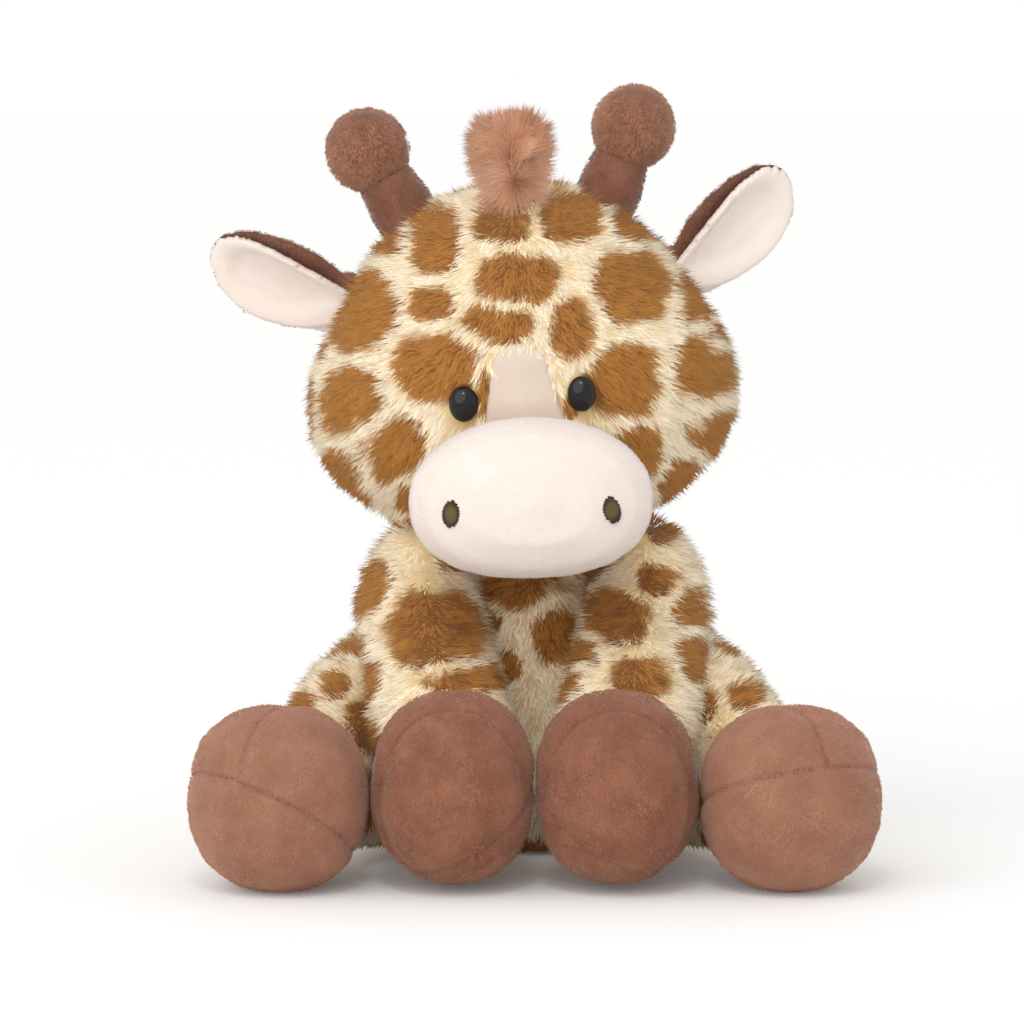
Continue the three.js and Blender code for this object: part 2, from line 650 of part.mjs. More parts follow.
const muzzleInside = (inset) => muzzleForm(-inset, plainer(MUZZLE_SHAPE), COARSE);
const muzzleOpening = muzzleInside(VELBOA);
const headInside = (inset) => headForm(-inset, plainer(HEAD_SHAPE), COARSE);
let muzzleCover = muzzleForm(0).subtract(muzzleOpening).subtract(headForm(SEAM_GAP));
sides.forEach((side) => {
  const { place, normal } = onMuzzle(side.sign * NOSTRIL_SPACING / 2);
  place.z -= NOSTRIL_DROP;
  place.applyAxisAngle(new THREE.Vector3(0, 1, 0), rad(MUZZLE_LEVELLING)).add(face);
  const patch = (grow) => {
    const form = turned(plump(OVAL, ROOT_STEPS), COARSE);
    form.scale(NOSTRIL_WIDTH / 2, NOSTRIL_TALL / 2, NOSTRIL_THICK / 2);
    form.rotateZ(side.sign * rad(NOSTRIL_LEAN)).rotateX(Math.PI / 2);
    form.applyQuaternion(
      new THREE.Quaternion().setFromUnitVectors(new THREE.Vector3(0, -1, 0), normal),
    );
    return solid(grown(form.translate(place.x, place.y, place.z), grow));
  };
  muzzleCover = muzzleCover.subtract(patch(SEAM_GAP));
  addPiece(headGroup, `nostril_${side.name}`, patch(0), 'thread');
});
addPiece(headGroup, 'muzzle_cover', muzzleCover, 'paleVelboa');
const muzzleFill = muzzleInside(VELBOA + SEAM_GAP).subtract(headInside(PLUSH));
addPiece(headGroup, 'muzzle_stuffing', muzzleFill, 'fibrefill');

// Blaze, a pale strip let into the face above the muzzle

function blazePrism(grow) {
  const foot = BLAZE_FOOT_WIDTH / 2 + grow;
  const top = BLAZE_TOP_WIDTH / 2 + grow;
  const shape = new THREE.Shape();
  shape.moveTo(-foot, BLAZE_FOOT_LEVEL);
  shape.lineTo(foot, BLAZE_FOOT_LEVEL);
  shape.lineTo(top, BLAZE_LEVEL - BLAZE_TOP_WIDTH / 2);
  shape.absarc(0, BLAZE_LEVEL - BLAZE_TOP_WIDTH / 2, top, 0, Math.PI, false);
  const form = new THREE.ExtrudeGeometry(shape, {
    depth: HEAD_DEPTH, bevelEnabled: false, curveSegments: INSIDE_STEPS,
  });
  return solid(form.rotateX(Math.PI / 2).translate(headFoot.x, headFoot.y, headFoot.z));
}

const headShell = headForm(0).subtract(headInside(PLUSH));
const faceShell = headShell.subtract(muzzleOpening);
addPiece(headGroup, 'face_blaze', faceShell.intersect(blazePrism(0)), 'paleVelboa');

// Eyes, moulded domes on shanks that washers lock behind the cover

const neckSocket = ball(new THREE.Vector3(), NECK_RADIUS + FLEX_GAP, ACROSS, MEDIUM);
const coverCuts = [blazePrism(SEAM_GAP), neckSocket];
const fillCuts = [neckSocket];

function eyeForm(spot, grow) {
  const dome = turned([[0, 0], ...arc(1, 0, Math.PI / 2, 0, ROOT_STEPS)], COARSE);
  dome.scale(EYE_WIDTH / 2, EYE_TALL / 2, EYE_DOME).translate(0, 0, -EYE_SINK);
  const shank = new THREE.CylinderGeometry(SHANK_DIAMETER / 2, SHANK_DIAMETER / 2, SHANK_LENGTH, HIDDEN);
  shank.rotateX(Math.PI / 2).translate(0, 0, SHANK_EMBED - EYE_SINK - SHANK_LENGTH / 2);
  const parts = [dome, shank].map((form) => solid(spot(grown(form, grow))));
  return parts[0].add(parts[1]);
}

sides.forEach((side) => {
  const bearing = side.sign * Math.asin(EYE_SPACING / 2 / headGirth(EYE_LEVEL).radius);
  const { place, normal } = onHead(EYE_LEVEL, bearing);
  const upright = new THREE.Matrix4().lookAt(normal, new THREE.Vector3(), UP).setPosition(place);
  const spot = (form) => form.applyMatrix4(upright);
  const eye = eyeForm(spot, 0);
  const room = eyeForm(spot, SEAM_GAP);
  const hole = SHANK_DIAMETER / 2 + SEAM_GAP;
  const washerFront = -PLUSH - WASHER_SEAT;
  const ring = (bore, grow) => {
    const rim = WASHER_DIAMETER / 2 + grow;
    const [low, high] = [washerFront - WASHER_THICK - grow, washerFront + grow];
    const profile = [[bore, low], [rim, low], [rim, high], [bore, high]];
    return solid(spot(turned(bore > 0 ? [...profile, profile[0]] : profile, COARSE)));
  };
  const pocket = ring(0, SEAM_GAP);
  coverCuts.push(room, pocket);
  fillCuts.push(room, pocket);
  addPiece(headGroup, `eye_${side.name}`, eye, 'eyePlastic');
  addPiece(headGroup, `eye_washer_${side.name}`, ring(hole, 0), 'washerPlastic');
});

// Forelock, a tuft of long pile sewn into the crown

const crown = onHead(HEAD_HEIGHT - FORELOCK_DROP, 0);
function forelockForm(grow) {
  const form = turned(sized(FORELOCK_SHAPE, FORELOCK_WIDTH / 2, FORELOCK_TALL), COARSE);
  form.translate(crown.place.x + FORELOCK_ASIDE, crown.place.y, crown.place.z - FORELOCK_ROOT);
  return solid(grown(form, grow));
}
coverCuts.push(forelockForm(SEAM_GAP));
fillCuts.push(forelockForm(SEAM_GAP));
addPiece(headGroup, 'forelock_tuft', forelockForm(0), 'longPile');

// Horns, each a stem with a round root and a plump knob on one axis

function addHorn(side) {
  const { place } = onHead(HEAD_HEIGHT - HORN_DROP, side.sign * rad(HORN_BEARING));
  const line = new THREE.Vector3(side.sign * Math.sin(rad(HORN_SPLAY)), 0, Math.cos(rad(HORN_SPLAY)));
  const stem = HORN_WIDTH / 2;
  const root = stem + HORN_FLARE;
  const collar = stem - HORN_TAPER;
  const knob = HORN_KNOB / 2;
  const wall = SHORT_PLUSH;
  const slack = wall + SEAM_GAP;
  const [lip, shoulder] = [rad(HORN_LIP), rad(HORN_SHOULDER)];
  const mouth = Math.PI - Math.asin((collar - wall) / knob);
  const innerMouth = Math.PI - Math.asin(collar / (knob - wall) - slack / knob);
  const meet = HORN_LENGTH + knob * Math.cos(mouth);
  const seat = (radius) => HORN_LENGTH - Math.sqrt((knob + SEAM_GAP) ** 2 - radius ** 2);
  const waist = root * HORN_WAIST;
  const aim = (profile) => solid(aimed(turned(profile, COARSE), place, line));
  const stemShell = [
    ...arc(root, 0, lip, shoulder, FLARE_STEPS), [stem, waist],
    [collar, seat(collar)], [collar - wall, seat(collar - wall)],
    [stem - wall, waist], ...arc(root - wall, 0, shoulder, lip, FLARE_STEPS),
  ];
  const knobShell = [
    ...arc(knob, HORN_LENGTH, mouth, 0, KNOB_STEPS),
    ...arc(knob - wall, HORN_LENGTH, 0, innerMouth, INSIDE_STEPS),
  ];
  const fill = [
    ...arc(root - slack, 0, Math.PI, shoulder, ROOT_STEPS), [stem - slack, waist],
    [collar - slack, meet], ...arc(knob - slack, HORN_LENGTH, innerMouth, 0, INSIDE_STEPS),
  ];
  addPiece(headGroup, `horn_${side.name}_stem`, aim([...stemShell, stemShell[0]]), 'hornPlush');
  addPiece(headGroup, `horn_${side.name}_knob`, aim([...knobShell, knobShell[0]]), 'hornPlush');
  addPiece(headGroup, `horn_${side.name}_stuffing`, aim(fill), 'fibrefill');
  const socketBall = ball(place, root + FLEX_GAP, new THREE.Vector3(0, 1, 0));
  coverCuts.push(socketBall);
  fillCuts.push(socketBall);
}
sides.forEach(addHorn);

// Ears, each a back and a lining cupped together on a sewn hem

function addEar(side) {
  const { place, normal } = onHead(EAR_LEVEL, side.sign * rad(EAR_BEARING));
  const line = new THREE.Vector3(side.sign * Math.cos(rad(side.earRise)), 0, Math.sin(rad(side.earRise)));
  const behind = new THREE.Vector3(0, 1, 0).applyAxisAngle(line, side.sign * rad(EAR_DROOP));
  const across = new THREE.Vector3().crossVectors(behind, line);
  const basis = new THREE.Matrix4().makeBasis(across, behind, line);
  const hem = EAR_HEM / 2;
  const root = place.clone().addScaledVector(normal, EAR_PROUD);
  const layer = (thick, facing) => {
    const form = closed(new THREE.SphereGeometry(1, COARSE, KNOB_STEPS).rotateX(Math.PI / 2));
    const { position } = form.attributes;
    for (let i = 0; i < position.count; i += 1) {
      const share = position.getX(i);
      const depth = facing * (SEAM_GAP / 2 + thick * Math.max(facing * position.getY(i), 0));
      const height = ((position.getZ(i) + 1) / 2) * (EAR_LENGTH + hem) - hem;
      position.setXYZ(i, (share * EAR_WIDTH) / 2, depth - EAR_CUP * share ** 2, height);
    }
    return solid(form.applyMatrix4(basis).translate(root.x, root.y, root.z));
  };
  const hemRod = (radius, reach) => rod(
    root.clone().addScaledVector(across, -reach), root.clone().addScaledVector(across, reach), radius,
  );
  const underHem = blockBelow(root, line, EAR_LENGTH);
  const underLining = blockBelow(
    root.clone().addScaledVector(line, hem + SEAM_GAP), line, EAR_LENGTH,
  );
  const back = layer(EAR_BACK_THICK, 1).subtract(underHem).add(hemRod(hem, EAR_HEM_LENGTH / 2));
  const lining = layer(EAR_LINING_THICK, -1).subtract(underLining);
  addPiece(headGroup, `ear_${side.name}_back`, back, 'hornPlush');
  addPiece(headGroup, `ear_${side.name}_lining`, lining, 'paleVelboa');
  coverCuts.push(hemRod(hem + FLEX_GAP, EAR_HEM_LENGTH / 2 + FLEX_GAP));
}
sides.forEach(addEar);

addPiece(headGroup, 'head_cover', withCuts(faceShell, coverCuts), 'printedPlush');
addPiece(headGroup, 'head_stuffing', withCuts(headInside(PLUSH + SEAM_GAP), fillCuts), 'fibrefill');

export default giraffe;
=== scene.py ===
import math

import bpy
import numpy as np
from mathutils import Matrix, Vector, noise
from mathutils.bvhtree import BVHTree


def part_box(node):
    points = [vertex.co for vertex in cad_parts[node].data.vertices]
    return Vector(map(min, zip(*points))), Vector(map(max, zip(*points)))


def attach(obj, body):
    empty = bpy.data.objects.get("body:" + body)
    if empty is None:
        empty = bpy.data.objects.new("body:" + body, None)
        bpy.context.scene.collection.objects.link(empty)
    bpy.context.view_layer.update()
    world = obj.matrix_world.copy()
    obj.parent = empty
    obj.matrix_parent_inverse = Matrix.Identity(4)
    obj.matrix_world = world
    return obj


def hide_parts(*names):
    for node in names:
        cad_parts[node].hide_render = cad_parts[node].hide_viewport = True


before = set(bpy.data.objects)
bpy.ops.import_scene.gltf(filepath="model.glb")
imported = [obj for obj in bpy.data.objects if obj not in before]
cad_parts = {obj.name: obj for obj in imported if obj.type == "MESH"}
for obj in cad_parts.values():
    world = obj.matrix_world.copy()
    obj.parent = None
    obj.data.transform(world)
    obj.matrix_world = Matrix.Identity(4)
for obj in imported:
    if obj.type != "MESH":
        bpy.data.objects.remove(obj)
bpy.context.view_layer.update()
mm = 0.001
noise.seed_set(5)  # the same tousle and print edges each run
pieces = {}  # every finished piece by name


# camera at the photograph's height and distance, straight at the face
photo = {
    "elevation": 6.0,
    "distance": 1.5,
    "target": (-0.0073, -0.020, 0.115),
    "lens": 158.2,
    "farClip": 20.0,
    "pixels": 1024,
    "pixelsPerMm": 3.0,  # at the target's distance
}
tilt = math.radians(photo["elevation"])
sight = np.array((0.0, math.cos(tilt), -math.sin(tilt)))
sightUp = np.array((0.0, math.sin(tilt), math.cos(tilt)))
sightRight = np.array((1.0, 0.0, 0.0))
eyePoint = np.array(photo["target"]) - sight * photo["distance"]
bpy.ops.object.select_all(action="DESELECT")
bpy.ops.object.camera_add(location=eyePoint, rotation=(math.pi / 2 - tilt, 0, 0))
camera = bpy.context.object
camera.name = "photoCamera"
camera.data.lens = photo["lens"]
camera.data.clip_end = photo["farClip"]
bpy.context.scene.camera = camera
print("camera placed")


def hexColour(text):
    levels = [int(text[i:i + 2], 16) / 255 for i in (1, 3, 5)]
    linear = [c / 12.92 if c <= 0.04045 else ((c + 0.055) / 1.055) ** 2.4 for c in levels]
    return (*linear, 1.0)


def addNode(tree, kind, links=None, **values):
    node = tree.nodes.new(kind)
    for key, value in values.items():
        if key in node.inputs:
            node.inputs[key].default_value = value
        else:
            setattr(node, key, value)
    for socket, source in (links or {}).items():
        tree.links.new(source, node.inputs[socket])
    return node


# soft white studio: an even sky with a broad key from the upper left and a small lamp in front
studio = {
    "sky": 0.76,
    "key": 1.3,
    "lamp": 1.2,
    "lampSize": 0.16,
    "lampPlace": (-0.08, -0.80, 1.05),
    "keyTurn": (54, 0, -28),
    "keyWidth": 70,
    "floor": "#F8F8F7",
    "floorWidth": 30.0,
    "floorLift": 0.05,  # only what the camera sees of the floor, so it reads as white paper
}
world = bpy.data.worlds.new("studioSky")
bpy.context.scene.world = world
world.use_nodes = True
skyTree = world.node_tree
skyTree.nodes.clear()
rays = addNode(skyTree, "ShaderNodeLightPath")
cameraOrGlossy = addNode(skyTree, "ShaderNodeMath", operation="MAXIMUM", links={
    0: rays.outputs["Is Camera Ray"], 1: rays.outputs["Is Glossy Ray"]})
seen = addNode(skyTree, "ShaderNodeMath", operation="MAXIMUM", links={
    0: cameraOrGlossy.outputs[0], 1: rays.outputs["Is Transmission Ray"]})
light = addNode(skyTree, "ShaderNodeBackground", Strength=studio["sky"], Color=(1, 1, 1, 1))
paper = addNode(skyTree, "ShaderNodeBackground", Strength=1.0, Color=(1, 1, 1, 1))
sky = addNode(skyTree, "ShaderNodeMixShader", links={
    0: seen.outputs[0], 1: light.outputs[0], 2: paper.outputs[0]})
addNode(skyTree, "ShaderNodeOutputWorld", links={"Surface": sky.outputs[0]})

bpy.ops.object.light_add(type="SUN", rotation=[math.radians(a) for a in studio["keyTurn"]])
key = bpy.context.object
key.name = "keyLight"
key.data.energy = studio["key"]
key.data.angle = math.radians(studio["keyWidth"])

lampPlace = Vector(studio["lampPlace"])
lampAim = (Vector(photo["target"]) - lampPlace).to_track_quat("-Z", "Y").to_euler()
bpy.ops.object.light_add(type="AREA", location=lampPlace, rotation=lampAim)
lamp = bpy.context.object
lamp.name = "frontLamp"
lamp.data.energy = studio["lamp"]
lamp.data.size = studio["lampSize"]

bpy.ops.mesh.primitive_plane_add(size=studio["floorWidth"])
floor = bpy.context.object
floor.name = "studioFloor"
floorPaper = bpy.data.materials.new("studioPaper")  # matt white paper sweep
floorPaper.use_nodes = True
floorTree = floorPaper.node_tree
floorTree.nodes.clear()
matt = addNode(floorTree, "ShaderNodeBsdfDiffuse", Color=hexColour(studio["floor"]))
floorRays = addNode(floorTree, "ShaderNodeLightPath")
lift = addNode(floorTree, "ShaderNodeMath", operation="MULTIPLY", links={
    0: floorRays.outputs["Is Camera Ray"]})
lift.inputs[1].default_value = studio["floorLift"]
glow = addNode(floorTree, "ShaderNodeEmission", links={"Strength": lift.outputs[0]})
sheet = addNode(floorTree, "ShaderNodeAddShader", links={0: matt.outputs[0], 1: glow.outputs[0]})
addNode(floorTree, "ShaderNodeOutputMaterial", links={"Surface": sheet.outputs[0]})
floor.data.materials.append(floorPaper)
bpy.context.scene.view_settings.view_transform = "Standard"
print("studio lit")


def startMaterial(name, roughness, **sockets):
    material = bpy.data.materials.new(name)
    material.use_nodes = True
    tree = material.node_tree
    tree.nodes.clear()
    shader = addNode(tree, "ShaderNodeBsdfPrincipled")
    shader.inputs["Roughness"].default_value = roughness
    for socket, value in sockets.items():
        shader.inputs[socket.replace("_", " ")].default_value = value
    addNode(tree, "ShaderNodeOutputMaterial", links={"Surface": shader.outputs[0]})
    return material, tree, shader


# what all the plush fabrics share; bump depth in millimetres
polyester = {
    "ior": 1.45, "pileRoughness": 0.82, "pileHaloSpread": 0.5,
    "backingRoughness": 0.9, "backingSheen": 0.2, "loopBump": 0.5, "loopDepth": 0.4,
    "napRoughness": 0.85, "napSheen": 0.35, "napSheenSpread": 0.45, "napBump": 0.4,
    "napShare": 0.35, "darkAt": 0.32, "middleAt": 0.5, "paleAt": 0.68,
}


# cut fibres of a knitted pile: matt, with a faint halo where they are seen end on
def pileMaterial(name, sheen, halo):
    material, tree, shader = startMaterial(
        name, polyester["pileRoughness"], IOR=polyester["ior"], Sheen_Weight=sheen,
        Sheen_Roughness=polyester["pileHaloSpread"], Sheen_Tint=hexColour(halo))
    dyeAndShadeColour = addNode(tree, "ShaderNodeAttribute", attribute_name="dyeAndShade")
    # the print or dye, with the painted shade of the pile's roots, locks and seams
    tree.links.new(dyeAndShadeColour.outputs["Color"], shader.inputs["Base Color"])
    return material


# the knitted backing under the pile, coloured with the pile's print at its darker root tone, which is
# painted shade under the fibres, and stitched thread
def backingMaterial(name, loopMm):
    material, tree, shader = startMaterial(
        name, polyester["backingRoughness"], IOR=polyester["ior"],
        Sheen_Weight=polyester["backingSheen"])
    where = addNode(tree, "ShaderNodeTexCoord")
    dyeAndShadeColour = addNode(tree, "ShaderNodeAttribute", attribute_name="dyeAndShade")
    tree.links.new(dyeAndShadeColour.outputs["Color"], shader.inputs["Base Color"])
    loops = addNode(tree, "ShaderNodeTexNoise", Scale=1 / (loopMm * mm), Detail=3,
                    links={"Vector": where.outputs["Object"]})
    bump = addNode(tree, "ShaderNodeBump", Strength=polyester["loopBump"],
                   Distance=polyester["loopDepth"] * mm, links={"Height": loops.outputs["Fac"]})
    tree.links.new(bump.outputs[0], shader.inputs["Normal"])
    return material


# short shorn fabric: mottled where the nap lies in different directions, the mottle being painted
# sheen in the base colour
def napMaterial(name, dark, middle, pale, patchMm, napMm, depthMm):
    material, tree, shader = startMaterial(
        name, polyester["napRoughness"], IOR=polyester["ior"], Sheen_Weight=polyester["napSheen"],
        Sheen_Roughness=polyester["napSheenSpread"])
    where = addNode(tree, "ShaderNodeTexCoord")
    drift = addNode(tree, "ShaderNodeTexNoise", Scale=1 / (patchMm * mm), Detail=4,
                    Roughness=0.6, links={"Vector": where.outputs["Object"]})
    nap = addNode(tree, "ShaderNodeTexNoise", Scale=1 / (napMm * mm), Detail=2,
                  links={"Vector": where.outputs["Object"]})
    mixed = addNode(tree, "ShaderNodeMix", data_type="FLOAT", links={
        "A": drift.outputs["Fac"], "B": nap.outputs["Fac"]})
    mixed.inputs["Factor"].default_value = polyester["napShare"]
    ramp = addNode(tree, "ShaderNodeValToRGB", links={"Fac": mixed.outputs["Result"]})
    ramp.color_ramp.elements[0].position = polyester["darkAt"]
    ramp.color_ramp.elements[0].color = hexColour(dark)
    ramp.color_ramp.elements[1].position = polyester["paleAt"]
    ramp.color_ramp.elements[1].color = hexColour(pale)
    between = ramp.color_ramp.elements.new(polyester["middleAt"])
    between.color = hexColour(middle)
    tree.links.new(ramp.outputs["Color"], shader.inputs["Base Color"])
    bump = addNode(tree, "ShaderNodeBump", Strength=polyester["napBump"], Distance=depthMm * mm,
                   links={"Height": nap.outputs["Fac"]})
    tree.links.new(bump.outputs[0], shader.inputs["Normal"])
    return material


# moulded plastic: black and polished for the eyes, milky for the washers, with a faint flow haze
def plasticMaterial(name, roughness, ior, dark, pale, hazeMm, detail):
    material, tree, shader = startMaterial(name, roughness, IOR=ior)
    where = addNode(tree, "ShaderNodeTexCoord")
    haze = addNode(tree, "ShaderNodeTexNoise", Scale=1 / (hazeMm * mm), Detail=detail,
                   links={"Vector": where.outputs["Object"]})
    ramp = addNode(tree, "ShaderNodeValToRGB", links={"Fac": haze.outputs["Fac"]})
    ramp.color_ramp.elements[0].color = hexColour(dark)
    ramp.color_ramp.elements[1].color = hexColour(pale)
    tree.links.new(ramp.outputs["Color"], shader.inputs["Base Color"])
    return material


materials = {
    "printedPile": pileMaterial("printedPlushPile", 0.06, "#F6E2BC"),
    "printedBacking": backingMaterial("printedPlushBacking", 0.9),
    "hoofPile": pileMaterial("shortBrownPlushPile", 0.45, "#E6B193"),
    "hoofNap": napMaterial("shortBrownPlush", "#71412C", "#85533D", "#99654D", 9, 0.8, 0.3),
    "footNap": napMaterial("shortRosyPlush", "#895A44", "#96654F", "#A2725A", 9, 0.8, 0.3),
    "hornNap": napMaterial("shornDarkPlush", "#663C29", "#784B37", "#8A5B45", 7, 0.7, 0.25),
    "velboaNap": napMaterial("paleVelboa", "#E9DACF", "#ECDED4", "#EFE2D9", 14, 0.6, 0.1),
    "peachNap": napMaterial("peachVelboa", "#D0BCAA", "#D5C3B2", "#DBC9BA", 14, 0.6, 0.1),
    "velboaPile": pileMaterial("paleVelboaPile", 0.2, "#FBEADF"),
    "tuftPile": pileMaterial("longRosePile", 0.15, "#F0C3A6"),
    "fibre": napMaterial("polyesterFibrefill", "#D9D9D6", "#EDEDEA", "#FAFAF8", 4, 0.5, 0.5),
    "pouch": napMaterial("pouchCotton", "#CFC7B8", "#DED7CA", "#EAE4D9", 6, 0.5, 0.15),
    "thread": backingMaterial("embroideryThread", 0.35),
    "eyePlastic": plasticMaterial("blackAcrylic", 0.05, 1.42, "#040506", "#0D0F12", 3, 2),
    "washerPlastic": plasticMaterial("mouldedPolyethylene", 0.4, 1.5, "#D4D2CA", "#ECEAE4", 2, 3),
}
print("materials mixed")


def points(piece):
    found = np.empty(len(piece.data.vertices) * 3)
    piece.data.vertices.foreach_get("co", found)
    return found.reshape(-1, 3)


def outward(piece):
    found = np.empty(len(piece.data.vertices) * 3)
    piece.data.vertex_normals.foreach_get("vector", found)
    return found.reshape(-1, 3)


def place(piece, found):
    piece.data.vertices.foreach_set("co", np.ascontiguousarray(found, dtype=np.float32).ravel())
    piece.data.update()


def smooth(low, high, value):
    share = np.clip((value - low) / (high - low), 0, 1)
    return share * share * (3 - 2 * share)


def unit(vectors):
    return vectors / np.maximum(np.linalg.norm(vectors, axis=1, keepdims=True), 1e-9)


def pick(piece):
    bpy.ops.object.select_all(action="DESELECT")
    piece.select_set(True)
    bpy.context.view_layer.objects.active = piece


def applyAll(piece):
    pick(piece)
    for modifier in list(piece.modifiers):
        bpy.ops.object.modifier_apply(modifier=modifier.name)


def shadeSoft(piece):
    pick(piece)
    bpy.ops.object.shade_smooth()


sewing = {"weld": 0.01, "ease": 0.5}  # millimetres, and the share of each smoothing step


def relax(piece, times):
    soften = piece.modifiers.new("soften", "SMOOTH")
    soften.factor = sewing["ease"]
    soften.iterations = times
    applyAll(piece)


# one closed skin over the given nodes, either drawn tight round them or following their form
def skinOver(name, nodeNames, cut, tight=True):
    bpy.ops.object.select_all(action="DESELECT")
    copies = []
    for nodeName in nodeNames:
        copy = bpy.data.objects.new(name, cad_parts[nodeName].data.copy())
        bpy.context.scene.collection.objects.link(copy)
        copy.select_set(True)
        copies.append(copy)
    bpy.context.view_layer.objects.active = copies[0]
    if len(copies) > 1:
        bpy.ops.object.join()
    skin = bpy.context.view_layer.objects.active
    skin.name = name
    skin.data.name = name
    skin.data.materials.clear()
    bpy.ops.object.mode_set(mode="EDIT")
    bpy.ops.mesh.select_all(action="SELECT")
    bpy.ops.mesh.remove_doubles(threshold=sewing["weld"] * mm)
    if tight:
        bpy.ops.mesh.convex_hull()
    bpy.ops.object.mode_set(mode="OBJECT")
    knit = skin.modifiers.new("knit", "REMESH")
    knit.mode = "VOXEL"
    knit.voxel_size = cut["voxel"] * mm
    applyAll(skin)
    relax(skin, cut["softening"])
    if "inset" in cut:
        place(skin, points(skin) - outward(skin) * cut["inset"] * mm)
    shadeSoft(skin)
    return skin


def refine(piece, levels=1):
    finer = piece.modifiers.new("finer", "SUBSURF")
    finer.levels = levels
    finer.render_levels = levels
    applyAll(piece)


stuffing = {
    "quality": 5, "mass": 0.2, "tension_stiffness": 12, "compression_stiffness": 12,
    "shear_stiffness": 4, "bending_stiffness": 0.3, "use_pressure": True,
}
swelling = {"steps": 20, "leastStitch": 0.02}


# air-tight swelling, held back by the stitched lines, as stuffing fills a cover
def swell(piece, pressure, capMm, seamShare=None, pull=0.0):
    start = points(piece)
    cloth = piece.modifiers.new("stuffed", "CLOTH")
    for setting, value in stuffing.items():
        setattr(cloth.settings, setting, value)
    cloth.settings.uniform_pressure_force = pressure
    cloth.settings.effector_weights.gravity = 0
    cloth.collision_settings.use_collision = False
    if seamShare is not None:
        group = piece.vertex_groups.new(name="stitched")
        for index in np.nonzero(seamShare > swelling["leastStitch"])[0]:
            group.add([int(index)], float(seamShare[index]), "REPLACE")
        cloth.settings.vertex_group_shrink = "stitched"
        cloth.settings.shrink_min = 0.0
        cloth.settings.shrink_max = pull
    cloth.point_cache.frame_start = 1
    cloth.point_cache.frame_end = swelling["steps"]
    for step in range(1, swelling["steps"] + 1):
        bpy.context.scene.frame_set(step)
    applyAll(piece)
    bpy.context.scene.frame_set(1)
    moved = points(piece) - start
    reach = np.linalg.norm(moved, axis=1, keepdims=True)
    place(piece, start + moved * np.minimum(1, capMm * mm / np.maximum(reach, 1e-9)))
    piece.vertex_groups.clear()
    growth = np.mean(np.sum(moved * outward(piece), axis=1)) / mm
    print(piece.name, "swelled by", np.round(growth, 2), "mm")


# a stuffed piece drawn out again to the room its nodes hold, less the pile on it
def fitTo(piece, nodeNames, marginMm):
    boxes = [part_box(n) for n in nodeNames]
    low = np.min([np.array(b[0]) for b in boxes], axis=0) + marginMm * mm
    high = np.max([np.array(b[1]) for b in boxes], axis=0) - marginMm * mm
    found = points(piece)
    share = (found - found.min(0)) / (found.max(0) - found.min(0))
    place(piece, low + share * (high - low))


def triangles(piece):
    piece.data.calc_loop_triangles()
    corners = np.empty(len(piece.data.loop_triangles) * 3, dtype=np.int32)
    piece.data.loop_triangles.foreach_get("vertices", corners)
    return corners.reshape(-1, 3)


def treeOf(piece):
    return BVHTree.FromPolygons(points(piece).tolist(), triangles(piece).tolist())


def distances(tree, found):
    return np.array([tree.find_nearest(p)[3] for p in found.tolist()])


# how deep each point lies inside a closed skin, in metres, less than nothing outside
def depths(tree, box, found, reach=0.01):
    deep = np.full(len(found), -reach)
    near = np.all((found > box[0] - reach) & (found < box[1] + reach), axis=1)
    for index in np.nonzero(near)[0]:
        spot = Vector(found[index])
        hit, normal, _, gap = tree.find_nearest(spot)
        deep[index] = gap if (spot - hit).dot(normal) < 0 else -gap
    return deep


def keepSkin(piece, body, material, nodeNames):
    piece.data.materials.clear()
    piece.data.materials.append(materials[material])
    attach(piece, body)
    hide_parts(*nodeNames)
    pieces[piece.name] = piece


def wallOf(piece):
    found = points(piece)
    return treeOf(piece), (found.min(0), found.max(0))


# each vertex's colour: the thing's own print or dye, and on the pile and its backing also painted
# shade at roots, locks and seams
def paint(piece, colours):
    layer = piece.data.color_attributes.new("dyeAndShade", "FLOAT_COLOR", "POINT")
    layer.data.foreach_set("color", np.ascontiguousarray(colours, dtype=np.float32).ravel())


sides = {"right": -1, "left": 1}

# the plush covers, sunk below the pile that stands on them
cover = {"voxel": 3.1, "softening": 5}
coverSink = {"head": 3.2, "body": 3.0, "arm": 2.2, "leg": 3.2}
neck = {"voxel": 2.8, "softening": 4, "inset": 2.0}
tail = {"voxel": 1.2, "softening": 3, "inset": 1.5}
skins = {}
for part in ("head", "body"):
    skins[part] = skinOver(part + "Skin", [part + "_cover"], {**cover, "inset": coverSink[part]})
skins["neck"] = skinOver("neckSkin", ["neck_cover"], neck)
for side in sides:
    for limb in ("arm", "leg"):
        part = side + limb.title()
        sleeve = f"{side}_{limb}_sleeve"
        skins[part] = skinOver(part + "Skin", [sleeve], {**cover, "inset": coverSink[limb]})
# the sleeves are full at the shoulder and the thighs at the hip: places in metres, lifts in mm
shoulder = {
    "from": 0.082, "to": 0.105, "lift": 6.0, "inward": 3.5,
    "outsideFrom": 0.036, "outsideOver": 0.02, "outsideDrop": 0.4,
}
hip = {"from": 0.030, "to": 0.056, "inside": 0.068, "outside": 0.092, "lift": 9.0}
for side, sign in sides.items():
    found = points(skins[side + "Arm"])
    share = smooth(shoulder["from"], shoulder["to"], found[:, 2])
    outer = np.clip((found[:, 0] * sign - shoulder["outsideFrom"]) / shoulder["outsideOver"], 0, 1)
    found[:, 2] += share * (1 - shoulder["outsideDrop"] * outer) * shoulder["lift"] * mm
    found[:, 0] -= share * outer * sign * shoulder["inward"] * mm
    place(skins[side + "Arm"], found)
    found = points(skins[side + "Leg"])
    share = smooth(hip["from"], hip["to"], found[:, 2])
    share *= 1 - smooth(hip["inside"], hip["outside"], found[:, 0] * sign)
    found[:, 2] += share * hip["lift"] * mm
    place(skins[side + "Leg"], found)
skins["tail"] = skinOver("tailSkin", ["tail_cover"], tail)
print("plush covers cut:", {name: len(skin.data.vertices) for name, skin in skins.items()})

